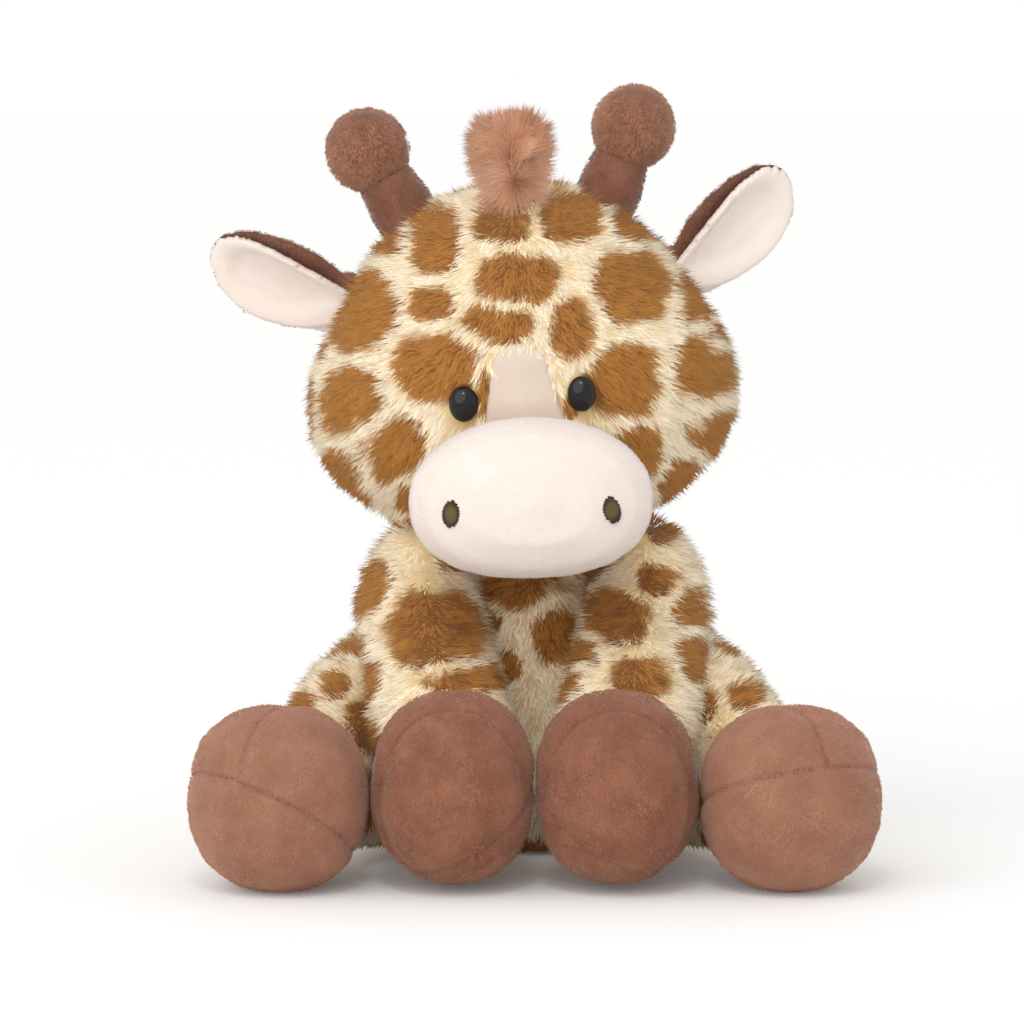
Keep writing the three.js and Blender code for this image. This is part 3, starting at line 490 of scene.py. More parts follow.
# hooves: three sewn panels, swollen with stuffing and drawn in along their seams
hoof = {
    "voxel": 3.4, "softening": 5, "inset": 2.2, "pressure": 4.0, "cap": 2.6, "pull": 0.02,
    "seamReach": 3.0, "groove": 0.8, "grooveWidth": 0.7, "valley": 0.35, "valleyWidth": 3.0,
    "margin": -0.3, "relax": 6, "finer": 2, "parting": 0.3, "seamShade": 0.35, "shadeWidth": 1.0,
}
hoofPanels = {}
for side in sides:
    hoofPanels[side + "Arm"] = [f"{side}_arm_hoof_{p}" for p in ("front_panel", "back_panel", "sole")]
    hoofPanels[side + "Leg"] = [f"{side}_leg_hoof_{p}" for p in ("inner_panel", "outer_panel", "sole")]


def seamDistance(found, nodeNames):
    gaps = np.sort(np.array([distances(treeOf(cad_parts[n]), found) for n in nodeNames]), axis=0)
    return gaps[1] - gaps[0]


for limb, panels in hoofPanels.items():
    skin = skinOver(limb + "HoofSkin", panels, hoof)
    apart = seamDistance(points(skin), panels)
    swell(skin, hoof["pressure"], hoof["cap"],
          np.clip(1 - apart / (hoof["seamReach"] * mm), 0, 1), hoof["pull"])
    relax(skin, hoof["relax"])
    refine(skin, hoof["finer"])
    fitTo(skin, panels, hoof["margin"])
    apart = seamDistance(points(skin), panels)
    sunk = np.exp(-(apart / (hoof["grooveWidth"] * mm)) ** 2) * hoof["groove"] * mm
    sunk += np.exp(-(apart / (hoof["valleyWidth"] * mm)) ** 2) * hoof["valley"] * mm
    place(skin, points(skin) - outward(skin) * sunk[:, None])
    skins[limb + "Hoof"] = skin
print("hooves stuffed")

# muzzle: one plump oval of velboa
muzzle = {"voxel": 2.4, "softening": 6, "inset": 1.6, "pressure": 2.5, "cap": 1.6, "margin": 0.3}
skins["muzzle"] = skinOver("muzzleSkin", ["muzzle_cover"], muzzle)
swell(skins["muzzle"], muzzle["pressure"], muzzle["cap"])
refine(skins["muzzle"])
fitTo(skins["muzzle"], ["muzzle_cover"], muzzle["margin"])

# horns and ears
hornStem = {"voxel": 1.2, "softening": 3, "inset": 0.4}
hornKnob = {"voxel": 1.2, "softening": 4, "inset": 0.3}
earBack = {"voxel": 1.0, "softening": 4, "inset": 0.2, "rimClear": 1.3}
earLining = {
    "voxel": 1.0, "softening": 4, "foldAtRoot": 0.62, "foldAtTip": 0.08, "rootReach": 7.0,
    "rim": 1.8, "rimRise": (0.5, 0.8), "rimFall": (0.92, 1.02),
    "hollow": 0.8, "hollowRing": (0.1, 0.7), "facing": 0.3,
}
for side, sign in sides.items():
    skins[side + "Stem"] = skinOver(side + "HornStem", [f"horn_{side}_stem"], hornStem)
    skins[side + "Knob"] = skinOver(side + "HornKnob", [f"horn_{side}_knob"], hornKnob)
    skins[side + "EarBack"] = skinOver(side + "EarBack", [f"ear_{side}_back"], earBack, tight=False)
    lining = skinOver(side + "EarLining", [f"ear_{side}_lining"], earLining, tight=False)
    skins[side + "EarLining"] = lining
    # folded along its length, with a soft rim and a hollow middle
    found = points(lining)
    centre = found.mean(0)
    axes = np.linalg.eigh(np.cov((found - centre).T))[1]
    along = axes[:, 2] * np.sign(axes[0, 2] * sign)
    upward = axes[:, 1] * np.sign(axes[2, 1])
    front = axes[:, 0] * -np.sign(axes[1, 0])
    length = (found - centre) @ along
    height = (found - centre) @ upward
    length = length / np.abs(length).max()
    share = height / np.abs(height).max()
    atTip, atRoot = earLining["foldAtTip"], earLining["foldAtRoot"]
    fold = atTip + (atRoot - atTip) * (1 - length) / 2
    dropped = np.where(height > 0, height * fold, 0)
    ring = np.sqrt(length ** 2 + share ** 2)
    shown = (outward(lining) @ front) > earLining["facing"]
    rise, fall = smooth(*earLining["rimRise"], ring), smooth(*earLining["rimFall"], ring)
    raised = earLining["rim"] * rise * (1 - fall)
    raised -= earLining["hollow"] * (1 - smooth(*earLining["hollowRing"], ring))
    found = found - upward * dropped[:, None] + front * (shown * raised * mm)[:, None]
    # the lining runs on into the head's pile
    found -= along * (np.maximum(-length, 0) * earLining["rootReach"] * mm)[:, None]
    place(lining, found)

# the pale strip of the face, below the pile's tips, and the roots of the two tufts
blaze = {"voxel": 0.9, "softening": 4, "shift": (0, 2.0, -0.3)}
forelock = {
    "voxel": 1.5, "softening": 6, "inset": 6.0,
    "partingAcross": 0.62, "partingUp": 0.26, "crestUp": 0.75, "fallOver": 6.0,
}
tailTuft = {"voxel": 1.0, "softening": 3, "inset": 3.5}
skins["blaze"] = skinOver("faceBlaze", ["face_blaze"], blaze, tight=False)
place(skins["blaze"], points(skins["blaze"]) + np.array(blaze["shift"]) * mm)
skins["forelock"] = skinOver("forelockRoot", ["forelock_tuft"], forelock)
skins["tailTuft"] = skinOver("tailTuftRoot", ["tail_tuft"], tailTuft)
walls = {name: wallOf(skin) for name, skin in skins.items()}
print("soft forms done")


# giraffe print: patches placed on the photograph, as centre and half size in pixels,
# then more of the same kind on the sides that it doesn't show
spots = {
    "head": [
        (437, 245, 25, 39), (384, 244, 21, 19), (368, 316, 34, 44), (433, 306, 21, 22),
        (517, 281, 41, 27), (503, 227, 30, 20), (569, 220, 31, 29), (627, 290, 38, 38),
        (642, 230, 23, 23), (497, 327, 34, 20), (575, 333, 24, 32), (437, 369, 45, 35),
        (620, 382, 34, 38), (359, 401, 34, 36), (394, 447, 35, 33), (339, 478, 30, 36),
        (700, 377, 31, 40), (711, 425, 33, 31), (706, 475, 31, 23), (694, 301, 23, 33),
        (733, 335, 12, 18), (305, 410, 8, 36), (317, 350, 6, 15), (632, 447, 26, 24),
        (484, 392, 9, 26), (409, 490, 12, 18), (571, 408, 7, 12),
    ],
    "rightArm": [(435, 632, 50, 38), (465, 682, 42, 14), (375, 590, 20, 30), (452, 562, 16, 12)],
    "leftArm": [
        (655, 585, 22, 18), (617, 620, 33, 28), (690, 612, 23, 23), (690, 660, 17, 25),
        (640, 680, 30, 20), (664, 530, 16, 18), (585, 655, 15, 18), (735, 668, 10, 20),
    ],
    "body": [(525, 595, 55, 20), (555, 630, 22, 40), (490, 620, 14, 14), (508, 668, 15, 15)],
    "rightLeg": [(335, 690, 14, 14)],
    "leftLeg": [(745, 700, 16, 12)],
}
printing = {
    "sizes": ((10.5, 13.5), (6.5, 10.0)), "tailSizes": ((4.0, 5.0),), "apart": 1.2, "tries": 900,
    "wobble": 0.16, "wobbleMm": 9, "fray": 0.12, "frayMm": 3, "lane": 0.06, "edge": 0.24,
    "seed": 40, "seenFacing": 0.22, "searchStep": 3, "searchEnd": 30,  # the last two in pixels
    "stretch": (0.85, 1.18), "grain": (0.1, 0.2, 1.0), "squareness": 2.6, "depth": 1.2, "reach": 1.1,
    "farRing": 9.0, "lookedAt": 3,  # in patch half sizes
}


def photoRay(x, y):
    middle = photo["pixels"] / 2
    step = mm / photo["pixelsPerMm"]
    aim = np.array(photo["target"]) + sightRight * (x - middle) * step + sightUp * (middle - y) * step
    return Vector(eyePoint), Vector(aim - eyePoint).normalized()


def surfaceSamples(piece, count, dice):
    corners = triangles(piece)
    found = points(piece)
    normals = outward(piece)
    a, b, c = (found[corners[:, i]] for i in range(3))
    areas = np.linalg.norm(np.cross(b - a, c - a), axis=1)
    chosen = dice.choice(len(corners), size=count, p=areas / areas.sum())
    u = dice.random((count, 2))
    over = u.sum(1) > 1
    u[over] = 1 - u[over]
    weights = np.stack([1 - u.sum(1), u[:, 0], u[:, 1]], axis=1)
    spotsFound = np.einsum("ij,ijk->ik", weights, found[corners[chosen]])
    normalsFound = unit(np.einsum("ij,ijk->ik", weights, normals[corners[chosen]]))
    return spotsFound, normalsFound


patches = {}
printed = ("head", "body", "neck", "rightArm", "leftArm", "rightLeg", "leftLeg", "tail")
for index, name in enumerate(printed):
    dice = np.random.default_rng(printing["seed"] + index)
    tree = walls[name][0]
    placed = []
    for x, y, halfWidth, halfHeight in spots.get(name, []):
        hit = None
        inwards = 0
        # the skin lies a little inside the pile's outline
        while hit is None and inwards < printing["searchEnd"]:
            start, aim = photoRay(x + (inwards if x < photo["pixels"] / 2 else -inwards), y)
            hit, normal = tree.ray_cast(start, aim)[:2]
            inwards += printing["searchStep"]
        if hit is None:
            continue
        pixel = mm / photo["pixelsPerMm"]
        placed.append((np.array(hit), np.array(normal), sightRight, sightUp,
                       halfWidth * pixel, halfHeight * pixel))
    candidates, normals = surfaceSamples(skins[name], printing["tries"], dice)
    facing = -normals @ sight
    unseen = (facing < printing["seenFacing"]) | (name not in spots or "Leg" in name)
    # the big patches first, then small ones in the room they leave
    for smallest, largest in printing["tailSizes" if name == "tail" else "sizes"]:
        for spot, normal in zip(candidates[unseen], normals[unseen]):
            room = min((np.linalg.norm(spot - p[0]) - max(p[4], p[5]) for p in placed), default=1.0)
            room -= printing["apart"] * mm
            if room < smallest * mm:
                continue
            size = min(room, dice.uniform(smallest, largest) * mm)
            stretch = dice.uniform(*printing["stretch"])
            across = unit(np.cross(normal, printing["grain"])[None])[0]
            placed.append((spot, normal, across, np.cross(normal, across),
                           size * stretch, size / stretch))
    patches[name] = placed
print("patches:", {name: len(found) for name, found in patches.items()})


def noiseAt(found, sizeMm, seed):
    shift = Vector((seed * 3.1, seed * 1.7, seed * 5.3))  # each seed reads a part of its own
    scale = 1 / (sizeMm * mm)
    return np.array([noise.noise_vector(Vector(p) * scale + shift)[:] for p in found.tolist()])


# how brown the print is at each point, from cream to full patch
def printShare(name, found):
    ripple = noiseAt(found, printing["wobbleMm"], 2)[:, 0] * printing["wobble"]
    ripple = ripple + noiseAt(found, printing["frayMm"], 3)[:, 1] * printing["fray"]
    square = printing["squareness"]
    nearest = np.full(len(found), printing["farRing"])
    second = nearest.copy()
    for spot, normal, across, upward, halfWidth, halfHeight in patches[name]:
        away = found - spot
        near = np.linalg.norm(away, axis=1) < printing["lookedAt"] * max(halfWidth, halfHeight)
        part = away[near]
        u = np.abs(part @ across) / halfWidth
        v = np.abs(part @ upward) / halfHeight
        deep = np.abs(part @ normal) / (printing["depth"] * max(halfWidth, halfHeight))
        ring = (u ** square + v ** square + deep ** square) ** (1 / square)
        second[near] = np.minimum(second[near], np.maximum(nearest[near], ring))
        nearest[near] = np.minimum(nearest[near], ring)
    between = np.minimum(printing["reach"] - nearest, (second - nearest) / 2 - printing["lane"])
    return smooth(0, printing["edge"], between + ripple)


# the print's cream and brown, each darker at the root than at the tip: the darker roots are painted
# shade of the pile's depth
printInks = {
    "creamRoot": "#DDBF8A", "creamTip": "#F7EAD2",
    "brownRoot": "#784611", "brownTip": "#B07631",
}


def blend(first, second, share):
    return first * (1 - share[:, None]) + second * share[:, None]


fibre = {
    "probe": 0.4,  # the height, of its length, at which a fibre may not stand inside another piece
    "leastRise": 0.25, "lengths": (0.7, 1.15), "shownAt": 0.6, "widestAt": 0.6, "belly": 0.6,
    "bendAt": 0.5, "bendGirth": 0.85, "floor": 0.1, "nudge": 0.01,
}


# a coat of cut fibres, leaning the way it was brushed
def growPile(name, skin, pile, body, slotName, material, rootInk, tipInk, flow, avoid=(), keep=None,
             over=None):
    dice = np.random.default_rng(pile["seed"])
    area = sum(p.area for p in skin.data.polygons) / mm ** 2
    count = int(area * pile["perMm2"])
    roots, normals = surfaceSamples(skin, count, dice)
    wanted = np.ones(count, bool)
    for wall, clear in avoid:
        deep = depths(wall[0], wall[1], roots + normals * pile["length"] * fibre["probe"] * mm)
        wanted &= deep < -clear * mm
    if keep is not None:
        wanted &= keep(roots, normals)
    roots, normals = roots[wanted], normals[wanted]
    count = len(roots)
    brushed = flow(roots)
    brushed = unit(brushed - normals * np.sum(brushed * normals, axis=1, keepdims=True))
    lean = np.radians(pile["lean"])
    tousle = noiseAt(roots, pile["lockMm"], pile["seed"]) * pile["tousle"]
    stray = dice.normal(0, pile["stray"], (count, 3))
    heading = unit(normals * np.cos(lean) + brushed * np.sin(lean) + tousle + stray)
    rising = np.sum(heading * normals, axis=1, keepdims=True)
    heading = unit(heading + normals * np.maximum(fibre["leastRise"] - rising, 0))
    rising = np.sum(heading * normals, axis=1, keepdims=True)
    lengths = pile["length"] * mm * dice.uniform(*fibre["lengths"], (count, 1))
    if over is not None:
        # clipped short where it would hang over something, and left out where that isn't enough
        lengths[over(roots, heading * lengths)] *= pile["clipped"]
        clear = ~over(roots, heading * lengths)
        roots, normals, heading = roots[clear], normals[clear], heading[clear]
        rising, lengths, tousle = rising[clear], lengths[clear], tousle[clear]
        count = len(roots)
    # a fibre shows the print where it lies, not where it is knotted
    shown = roots + (heading - normals * rising) * lengths * fibre["shownAt"]
    shown += dice.normal(0, pile.get("feather", 0) * mm, (count, 3))
    across = unit(np.cross(normals + fibre["nudge"], heading))
    beside = np.cross(heading, across)
    half = pile["width"] * mm / 2
    # a random tone for each fibre, and whole locks lighter or darker: painted shade between the clumps
    shade = dice.normal(1, pile["shade"], (count, 1)) + tousle[:, :1] * pile["lockShade"]
    shade = shade * (1, 1, 1, 0) + (0, 0, 0, 1)
    rootColour, tipColour = rootInk(shown) * shade, tipInk(shown) * shade
    if "droop" in pile:
        # long fibres: a three-sided hair with a bend
        turns = [0, 2 * math.pi / 3, 4 * math.pi / 3]
        droop = np.array(pile["droop"])
        layers = []
        for share, girth in ((0, 1.0), (fibre["bendAt"], fibre["bendGirth"])):
            centre = roots + heading * lengths * share + droop * lengths * share ** 2
            layers += [centre + (across * math.cos(turn) + beside * math.sin(turn)) * half * girth
                       for turn in turns]
        layers.append(roots + (heading + droop) * lengths)
        shares = [0] * 3 + [fibre["bendAt"]] * 3 + [1]
        faces = [(2, 1, 0), (3, 4, 6), (4, 5, 6), (5, 3, 6)]
        for i, j in ((0, 1), (1, 2), (2, 0)):
            faces += [(i, j, j + 3), (i, j + 3, i + 3)]
        spread = [(x, y) for y in (0.1, 0.5) for x in (0.15, 0.5, 0.85)] + [(0.5, 0.9)]
    else:
        # short fibres: a slim blade, widest past its middle where the pile shows
        widest = roots + heading * lengths * fibre["widestAt"] + beside * half * fibre["belly"]
        layers = [roots, widest + across * half, widest - across * half, roots + heading * lengths]
        shares = [0, fibre["widestAt"], fibre["widestAt"], 1]
        faces = [(0, 2, 1), (3, 1, 2), (0, 3, 2), (0, 1, 3)]
        spread = [(0.5, 0.1), (0.15, 0.6), (0.85, 0.6), (0.5, 0.9)]
    perFibre = len(layers)
    verts = np.stack(layers, axis=1).reshape(-1, 3)
    verts[:, 2] = np.maximum(verts[:, 2], fibre["floor"] * mm)  # pressed flat where it rests
    pattern = np.array(faces)
    corners = (np.arange(count)[:, None, None] * perFibre + pattern[None]).reshape(-1)
    mesh = bpy.data.meshes.new(name)
    mesh.vertices.add(len(verts))
    mesh.vertices.foreach_set("co", verts.astype(np.float32).ravel())
    mesh.loops.add(len(corners))
    mesh.loops.foreach_set("vertex_index", corners.astype(np.int32))
    mesh.polygons.add(len(corners) // 3)
    mesh.polygons.foreach_set("loop_start", np.arange(0, len(corners), 3, dtype=np.int32))
    # every fibre has its own cell of the fibre sheet, root at the foot and tip at the head
    columns = int(math.ceil(math.sqrt(count)))
    cell = np.stack([np.arange(count) % columns, np.arange(count) // columns], axis=1)
    fibreUv = (cell[:, None] + np.array(spread)[None][:, pattern.ravel()]) / columns
    mesh.uv_layers.new(name="OFBake")
    mesh.uv_layers["OFBake"].data.foreach_set("uv", fibreUv.astype(np.float32).ravel())
    mesh.update()
    coat = bpy.data.objects.new(name, mesh)
    bpy.context.scene.collection.objects.link(coat)
    # fine fibres let the light through to those below
    coat.visible_shadow = False
    coat.visible_diffuse = False
    # each fibre runs from its root colour to its tip colour, so the darker root paints in the shade of
    # the pile's depth
    perVertex = [blend(rootColour, tipColour, np.full(count, share)) for share in shares]
    paint(coat, np.clip(np.stack(perVertex, axis=1).reshape(-1, 4), 0, 1))
    own = outward(coat).reshape(count, perFibre, 3)
    soft = unit((own * (1 - pile["soft"]) + normals[:, None] * pile["soft"]).reshape(-1, 3))
    mesh.polygons.foreach_set("use_smooth", np.ones(len(corners) // 3, dtype=bool))
    mesh.normals_split_custom_set_from_vertices(soft.tolist())
    mesh.materials.append(materials[material])
    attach(coat, body)
    pieces[name] = coat
    print(name, count, "fibres")


# the giraffe print's colour at the "Root" or the "Tip" of the pile; the darker root is painted shade
def printedInk(part, end):
    cream, brown = [np.array(hexColour(printInks[tone + end])) for tone in ("cream", "brown")]

    def colour(found):
        return blend(cream, brown, printShare(part, found))
    return colour


dyeing = {"driftMm": 11, "fleckMm": 3.5, "fleck": 0.5, "contrast": 0.9}
# the root tones are darker than the tip tones: painted shade of the pile's depth
plainInks = {  # dark and pale tone at the root, then at the tip
    "Arm": (("#704129", "#855238"), ("#7F4B31", "#9B6348")),
    "Leg": (("#88583F", "#9C6B51"), ("#95644B", "#AE7960")),
    "muzzle": (("#E0D2C8", "#E3D6CD"), ("#E4D8CF", "#E7DCD4")),
    "blaze": (("#D1BDAB", "#D6C4B3"), ("#D6C4B3", "#DCCBBB")),
    "stem": (("#5D3522", "#6C402C"), ("#744932", "#8A5B40")),
    "knob": (("#7A4B32", "#8C5A3E"), ("#976347", "#B07B5B")),
    "earBack": (("#663B2C", "#744636"), ("#8A5845", "#A87660")),
    "earLining": (("#EAD9C9", "#EEDFD1"), ("#F0E0D3", "#F4E7DC")),
    "forelock": (("#84492F", "#9A5E41"), ("#CE9270", "#E4B293")),
    "tailTuft": (("#9A5F4A", "#A96D57"), ("#CF9478", "#E0AE92")),
}


# plain dye that drifts between two tones
def plainInk(dark, pale):
    darkTone, paleTone = np.array(hexColour(dark)), np.array(hexColour(pale))

    def colour(found):
        drift = noiseAt(found, dyeing["driftMm"], 5)[:, 0]
        drift = drift + noiseAt(found, dyeing["fleckMm"], 6)[:, 1] * dyeing["fleck"]
        return blend(darkTone, paleTone, np.clip(drift * dyeing["contrast"] + 0.5, 0, 1))
    return colour


def plainDyes(part):
    return [plainInk(*tones) for tones in plainInks[part]]


def dressPrinted(name, body, nodeNames):
    skin = skins[name]
    refine(skin)
    # the backing takes the print at its darker root tone: painted shade under the pile
    paint(skin, printedInk(name, "Root")(points(skin)))
    keepSkin(skin, body, "printedBacking", nodeNames)


# which way the pile was brushed on each part
def brushAlong(*direction):
    def flow(found):
        return np.broadcast_to(np.array(direction), found.shape)
    return flow


brush = {"reach": 0.05}  # how far from its middle a part's pile turns fully aside


def brushDown(aside, backward):
    def flow(found):
        middle = np.median(found[:, 0])
        return np.stack([(found[:, 0] - middle) * aside / brush["reach"],
                         np.full(len(found), backward), np.full(len(found), -1.0)], axis=1)
    return flow


printedPile = {
    "length": 7.0, "width": 0.5, "lean": 52, "perMm2": 1.9, "lockMm": 4.5, "tousle": 0.5,
    "stray": 0.16, "shade": 0.1, "lockShade": 0.35, "soft": 0.8, "feather": 0.5, "clipped": 0.45,
}

dressPrinted("head", "head", ["head_cover"])
dressPrinted("body", "torso", ["body_cover"])
dressPrinted("neck", "neck", ["neck_cover"])
dressPrinted("tail", "tail", ["tail_cover"])
for side in sides:
    dressPrinted(side + "Arm", side + "_arm", [side + "_arm_sleeve"])
    dressPrinted(side + "Leg", side + "_leg", [side + "_leg_sleeve"])
print("covers printed")

face = {
    "blazeLift": 4.0, "blazeClear": 0.7, "blazeReach": 14.0, "eyeClear": 0.2, "nostrilClear": 0.9,
    "crownFrom": -0.022, "napeFrom": 0.018,
}
blazeTree = treeOf(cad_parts["face_blaze"])
eyeBoxes = [[np.array(corner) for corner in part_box("eye_" + side)] for side in sides]


def offBlaze(roots, normals):
    free = distances(blazeTree, roots + normals * face["blazeLift"] * mm) > face["blazeClear"] * mm
    for index in np.nonzero(free & (normals[:, 1] < 0))[0]:
        root, normal = Vector(roots[index]), Vector(normals[index])
        free[index] = blazeTree.ray_cast(root, normal, face["blazeReach"] * mm)[0] is None
    return free


# whether a fibre reaches in front of an eye
def overEyes(roots, reach):
    hangs = np.zeros(len(roots), bool)
    for low, high in eyeBoxes:
        half = (high - low) / 2 + face["eyeClear"] * mm
        for share in (0, 0.4, 0.7, 1):
            away = (roots + reach * share - (low + high) / 2) / half
            hangs |= away[:, 0] ** 2 + away[:, 2] ** 2 < 1
    return hangs


# how far the pile runs on where a limb hides it at rest, and up to where the seat is bare
hidden = {"pile": 5.0, "seat": 0.004}


def growPrinted(name, part, body, settings, flow, avoid, keep=None, over=None):
    growPile(name, skins[part], {**printedPile, **settings}, body, "printed_plush", "printedPile",
             printedInk(part, "Root"), printedInk(part, "Tip"), flow, avoid, keep, over)


def offSeat(roots, normals):
    return roots[:, 2] > hidden["seat"]


headAvoid = [(walls["muzzle"], 0.0)]
headAvoid += [(walls[side + part], 0.0) for part in ("Stem", "EarBack") for side in sides]
headParts = {
    "headPileFace": lambda r, n: (r[:, 1] < face["crownFrom"]) & offBlaze(r, n),
    "headPileCrown": lambda r, n: (r[:, 1] >= face["crownFrom"]) & (r[:, 1] < face["napeFrom"]),
    "headPileNape": lambda r, n: r[:, 1] >= face["napeFrom"],
}
for index, (name, keep) in enumerate(headParts.items()):
    growPrinted(name, "head", "head", {"seed": 11 + index}, brushDown(0.9, 0.45), headAvoid, keep,
                overEyes if name == "headPileFace" else None)

growPrinted("bodyPile", "body", "torso", {"seed": 21, "length": 6.5}, brushDown(0.3, 0.2),
            [(walls[n], -hidden["pile"]) for n in ("rightArm", "leftArm", "rightLeg", "leftLeg")]
            + [(walls["head"], 1.0)], offSeat)
growPrinted("neckPile", "neck", "neck", {"seed": 22, "length": 4.0}, brushDown(0.3, 0.0),
            [(walls["head"], 0.5), (walls["body"], 0.5)])
growPrinted("tailPile", "tail", "tail", {"seed": 23, "length": 4.0, "perMm2": 3.0},
            brushDown(0.0, 0.8), [(walls["body"], 0.5)])
for index, (side, sign) in enumerate(sides.items()):
    growPrinted(side + "ArmPile", side + "Arm", side + "_arm",
                {"seed": 31 + index, "length": 6.8, "lean": 50}, brushDown(0.4, 0.3),
                [(walls["body"], -hidden["pile"]), (walls["head"], 1.0),
                 (walls[side + "ArmHoof"], 1.0)])
    growPrinted(side + "LegPile", side + "Leg", side + "_leg", {"seed": 41 + index, "length": 6.5},
                brushAlong(sign * 0.8, 0.2, -0.5),
                [(walls["body"], -hidden["pile"]), (walls[side + "LegHoof"], 1.0)], offSeat)

# short pile on the hooves, parted along the stitched seams
hoofPile = {
    "length": 1.3, "width": 0.44, "lean": 55, "perMm2": 2.2, "lockMm": 5.0, "tousle": 0.35,
    "stray": 0.16, "shade": 0.06, "lockShade": 0.2, "soft": 0.85,
}
for index, (limb, panels) in enumerate(hoofPanels.items()):
    name = limb + "Hoof"
    body = panels[0].split("_hoof")[0]
    keepSkin(skins[name], body, "footNap" if "Leg" in limb else "hoofNap", panels)

    def offSeam(roots, normals):
        return seamDistance(roots, panels) > hoof["parting"] * mm

    def shaded(plain):
        def colour(found):
            apart = seamDistance(found, panels)
            dim = 1 - hoof["seamShade"] * np.exp(-(apart / (hoof["shadeWidth"] * mm)) ** 2)
            return plain(found) * np.stack([dim, dim, dim, np.ones(len(dim))], axis=1)
        return colour

    growPile(name + "Pile", skins[name], {**hoofPile, "seed": 51 + index}, body, "hoof_plush",
             "hoofPile", *[shaded(plain) for plain in plainDyes(limb[-3:])], brushDown(0.5, 0.5),
             [(walls[limb], 0.0)], offSeam)

# pale velboa face pieces
velboaPile = {
    "length": 0.6, "width": 0.34, "lean": 60, "perMm2": 1.5, "lockMm": 9.0, "tousle": 0.25,
    "stray": 0.12, "shade": 0.008, "lockShade": 0.0, "soft": 1.0, "seed": 61,
}
keepSkin(skins["muzzle"], "head", "velboaNap", ["muzzle_cover"])
nostrilTrees = [treeOf(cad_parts["nostril_" + side]) for side in sides]


def offNostrils(roots, normals):
    gaps = [distances(tree, roots) for tree in nostrilTrees]
    return np.min(gaps, axis=0) > face["nostrilClear"] * mm


growPile("muzzlePile", skins["muzzle"], velboaPile, "head", "pale_velboa", "velboaPile",
         *plainDyes("muzzle"), brushDown(0.6, 0.6), [(walls["head"], 0.0)], offNostrils)
keepSkin(skins["blaze"], "head", "peachNap", ["face_blaze"])
growPile("blazePile", skins["blaze"], {**velboaPile, "seed": 62}, "head", "pale_velboa", "velboaPile",
         *plainDyes("blaze"), brushDown(0.2, -0.2), [(walls["head"], 0.0), (walls["muzzle"], 0.0)])

# horns and ears of shorn brown plush
hornPile = {
    "length": 1.0, "width": 0.4, "lean": 45, "perMm2": 2.4, "lockMm": 3.0, "tousle": 0.55,
    "stray": 0.22, "shade": 0.07, "lockShade": 0.15, "soft": 0.75,
}
for index, side in enumerate(sides):
    hornBody, earBody = side + "_horn", side + "_ear"
    stem, knob = skins[side + "Stem"], skins[side + "Knob"]
    back, lining = skins[side + "EarBack"], skins[side + "EarLining"]
    keepSkin(stem, hornBody, "hornNap", [f"horn_{side}_stem"])
    keepSkin(knob, hornBody, "hornNap", [f"horn_{side}_knob"])
    growPile(side + "StemPile", stem, {**hornPile, "seed": 71 + index, "perMm2": 2.5},
             hornBody, "horn_plush", "hoofPile", *plainDyes("stem"), brushDown(0.0, 0.0),
             [(walls[side + "Knob"], 0.0)])
    growPile(side + "KnobPile", knob,
             {**hornPile, "seed": 73 + index, "length": 1.6, "width": 0.36, "perMm2": 3.2},
             hornBody, "horn_plush", "hoofPile", *plainDyes("knob"), brushDown(0.6, 0.4),
             [(walls[side + "Stem"], 0.0)])
    liningTree = walls[side + "EarLining"][0]
    keepSkin(back, earBody, "hornNap", [f"ear_{side}_back"])
    keepSkin(lining, earBody, "velboaNap", [f"ear_{side}_lining"])
    growPile(side + "EarBackPile", back, {**hornPile, "seed": 75 + index},
             earBody, "horn_plush", "hoofPile", *plainDyes("earBack"), brushDown(1.2, 0.0),
             [(walls[side + "EarLining"], 0.3)],
             lambda r, n: distances(liningTree, r) > earBack["rimClear"] * mm)
    growPile(side + "EarLiningPile", lining, {**velboaPile, "seed": 77 + index},
             earBody, "pale_velboa", "velboaPile", *plainDyes("earLining"), brushDown(1.2, 0.0),
             [(walls[side + "EarBack"], 0.0)])

# long soft lock on the crown and the tassel of the tail
tuftPile = {
    "length": 10.0, "width": 0.34, "lean": 44, "perMm2": 11.0, "lockMm": 4.0, "tousle": 0.72,
    "stray": 0.16, "shade": 0.08, "lockShade": 0.55, "soft": 0.75, "seed": 81, "droop": (0.0, 0.0, -0.06),
}
keepSkin(skins["forelock"], "head", "hornNap", ["forelock_tuft"])
tuftLow, tuftHigh = [np.array(corner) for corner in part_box("forelock_tuft")]
tuftSize = tuftHigh - tuftLow
forelockParting = tuftLow + tuftSize * (forelock["partingAcross"], 0, forelock["partingUp"])
forelockCrest = (tuftLow + tuftHigh) / 2
forelockCrest[2] = tuftLow[2] + tuftSize[2] * forelock["crestUp"]


# away from the parting in front, and falling from the top behind
def brushFrom(parting, crest):
    def flow(found):
        behind = smooth(crest[1], crest[1] + forelock["fallOver"] * mm, found[:, 1])
        return blend(unit(found - parting), unit(found - crest), behind)
    return flow


growPile("forelockPile", skins["forelock"], tuftPile, "head", "long_pile", "tuftPile",
         *plainDyes("forelock"), brushFrom(forelockParting, forelockCrest), [(walls["head"], 1.0)])
keepSkin(skins["tailTuft"], "tail", "hornNap", ["tail_tuft"])
growPile("tailTuftPile", skins["tailTuft"],
         {**tuftPile, "seed": 82, "length": 6.0, "perMm2": 12.0, "droop": (0, 0.1, -0.1)},
         "tail", "long_pile", "tuftPile", *plainDyes("tailTuft"), brushDown(0.3, 0.6),
         [(walls["tail"], 0.5)])
print("pile grown")

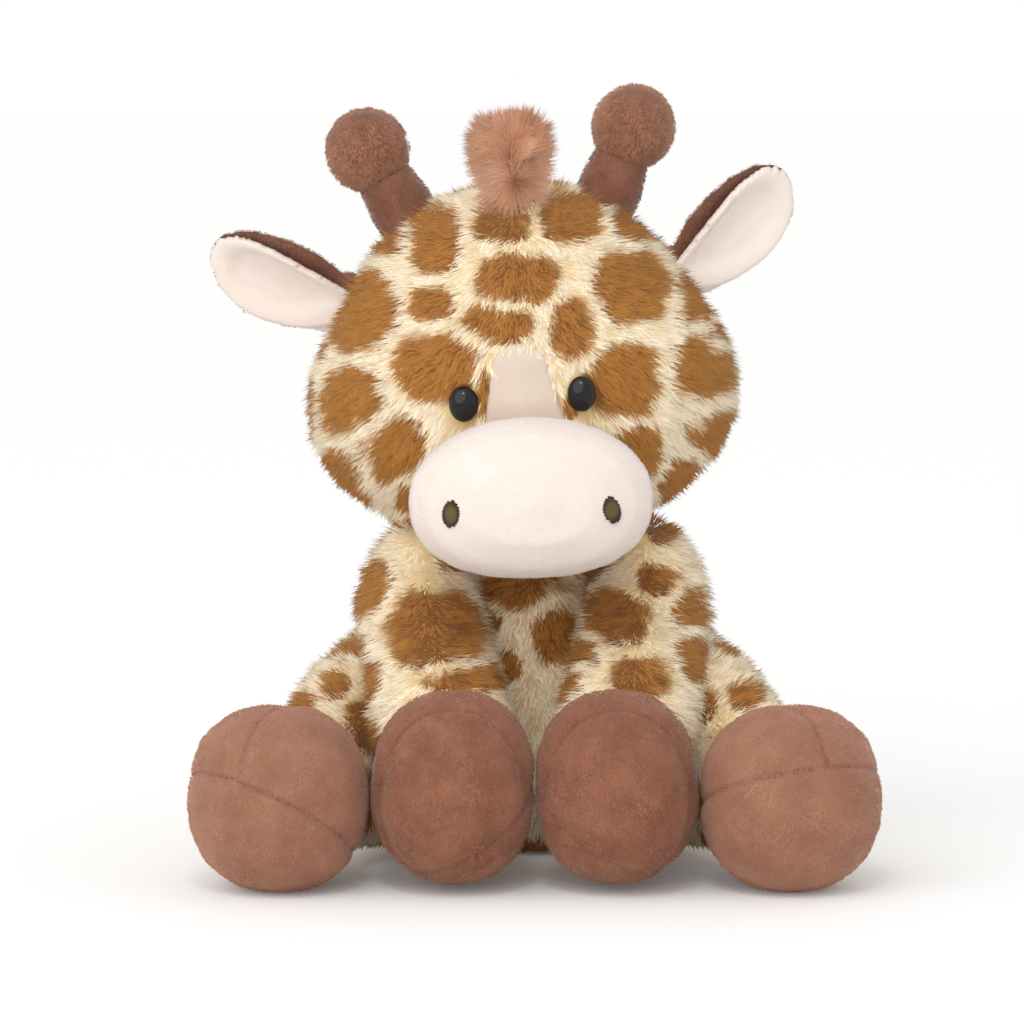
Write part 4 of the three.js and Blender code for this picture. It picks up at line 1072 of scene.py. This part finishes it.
# eyes: a domed cap with a rolled rim on a moulded shank
eye = {"segments": 40, "rings": 20, "dome": 0.75, "backFlat": 0.3, "shank": 1.7, "shankShort": 2.0}
for side in sides:
    low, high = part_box("eye_" + side)
    middle = (low + high) / 2
    halfX, halfZ = (high.x - low.x) / 2, (high.z - low.z) / 2
    depth = halfX * eye["dome"]
    bpy.ops.object.select_all(action="DESELECT")
    bpy.ops.mesh.primitive_uv_sphere_add(segments=eye["segments"], ring_count=eye["rings"], radius=1)
    cap = bpy.context.object
    cap.name = side + "Eye"
    cap.data.name = cap.name
    # pole to the front, then stretched to the oval of the eye
    cap.data.transform(Matrix.Rotation(math.pi / 2, 4, "X"))
    found = points(cap)
    behind = found[:, 1] > 0
    found[behind, 1] *= eye["backFlat"]
    rim = low.y + depth
    found = found * (halfX, depth, halfZ) + (middle.x, rim, middle.z)
    place(cap, found)
    bpy.ops.object.mode_set(mode="EDIT")
    bpy.ops.mesh.select_all(action="DESELECT")
    bpy.ops.object.mode_set(mode="OBJECT")
    for facet in cap.data.polygons:
        near = math.hypot(facet.center.x - middle.x, facet.center.z - middle.z) < eye["shank"] * mm
        facet.select = near and facet.center.y > rim
    bpy.ops.object.mode_set(mode="EDIT")
    shankLong = high.y - rim - eye["shankShort"] * mm
    bpy.ops.mesh.extrude_region_move(TRANSFORM_OT_translate={"value": (0, shankLong, 0)})
    bpy.ops.object.mode_set(mode="OBJECT")
    shadeSoft(cap)
    cap.data.materials.append(materials["eyePlastic"])
    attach(cap, "head")
    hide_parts("eye_" + side)
    pieces[cap.name] = cap
    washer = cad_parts["eye_washer_" + side]
    washer.data.materials.clear()
    washer.data.materials.append(materials["washerPlastic"])

# nostrils: close rows of satin stitch
stitch = {
    "voxel": 0.35, "softening": 3, "rowMm": 0.9, "rowSlope": 0.25, "depth": 0.25, "widen": 1.16,
    "middle": "#6B5535", "rim": "#382919", "rimRing": (0.4, 0.9),
}
for side in sides:
    pad = skinOver(side + "Nostril", ["nostril_" + side], stitch)
    found = points(pad)
    middle = (found.min(0) + found.max(0)) / 2
    found = middle + (found - middle) * (stitch["widen"], 1, 1)
    place(pad, found)
    ring = (found - middle) / ((found.max(0) - found.min(0)) / 2)
    ring = smooth(*stitch["rimRing"], np.hypot(ring[:, 0], ring[:, 2]))
    paint(pad, blend(np.array(hexColour(stitch["middle"])), np.array(hexColour(stitch["rim"])), ring))
    rising = found[:, 2] + found[:, 0] * stitch["rowSlope"]
    rows = np.sin(rising * 2 * math.pi / (stitch["rowMm"] * mm))
    place(pad, found + outward(pad) * rows[:, None] * stitch["depth"] * mm)
    keepSkin(pad, "head", "thread", ["nostril_" + side])

# fibrefill and the bean pouch inside the covers
fill = {"voxel": 4.0, "hornVoxel": 1.5, "softening": 3, "inset": 2.5, "lumpMm": 14, "lump": 1.5}
fills = {
    "body_stuffing": "torso", "neck_stuffing": "neck",
    "head_stuffing": "head", "muzzle_stuffing": "head",
}
for side in sides:
    fills[f"horn_{side}_stuffing"] = side + "_horn"
    fills[side + "_arm_stuffing"] = side + "_arm"
    fills[side + "_leg_stuffing"] = side + "_leg"
for nodeName, body in fills.items():
    wadCut = {**fill, "voxel": fill["hornVoxel"]} if "horn" in nodeName else fill
    wad = skinOver(nodeName + "_wad", [nodeName], wadCut, tight=False)
    lumps = np.abs(noiseAt(points(wad), fill["lumpMm"], 7)[:, 0]) * fill["lump"] * mm
    place(wad, points(wad) - outward(wad) * lumps[:, None])
    keepSkin(wad, body, "fibre", [nodeName])
beans = {"voxel": 2.5, "softening": 3, "inset": 0.4, "beanMm": 3.0, "bean": 0.4}
pouch = skinOver("beanPouch", ["seat_bean_pouch"], beans, tight=False)
bumps = noiseAt(points(pouch), beans["beanMm"], 8)[:, 0] * beans["bean"] * mm
place(pouch, points(pouch) + outward(pouch) * (bumps - beans["bean"] * mm)[:, None])
keepSkin(pouch, "torso", "pouch", ["seat_bean_pouch"])

total = sum(len(p.data.loop_triangles) or sum(len(f.vertices) - 2 for f in p.data.polygons)
            for p in pieces.values())
print("pieces", len(pieces), "triangles about", total)
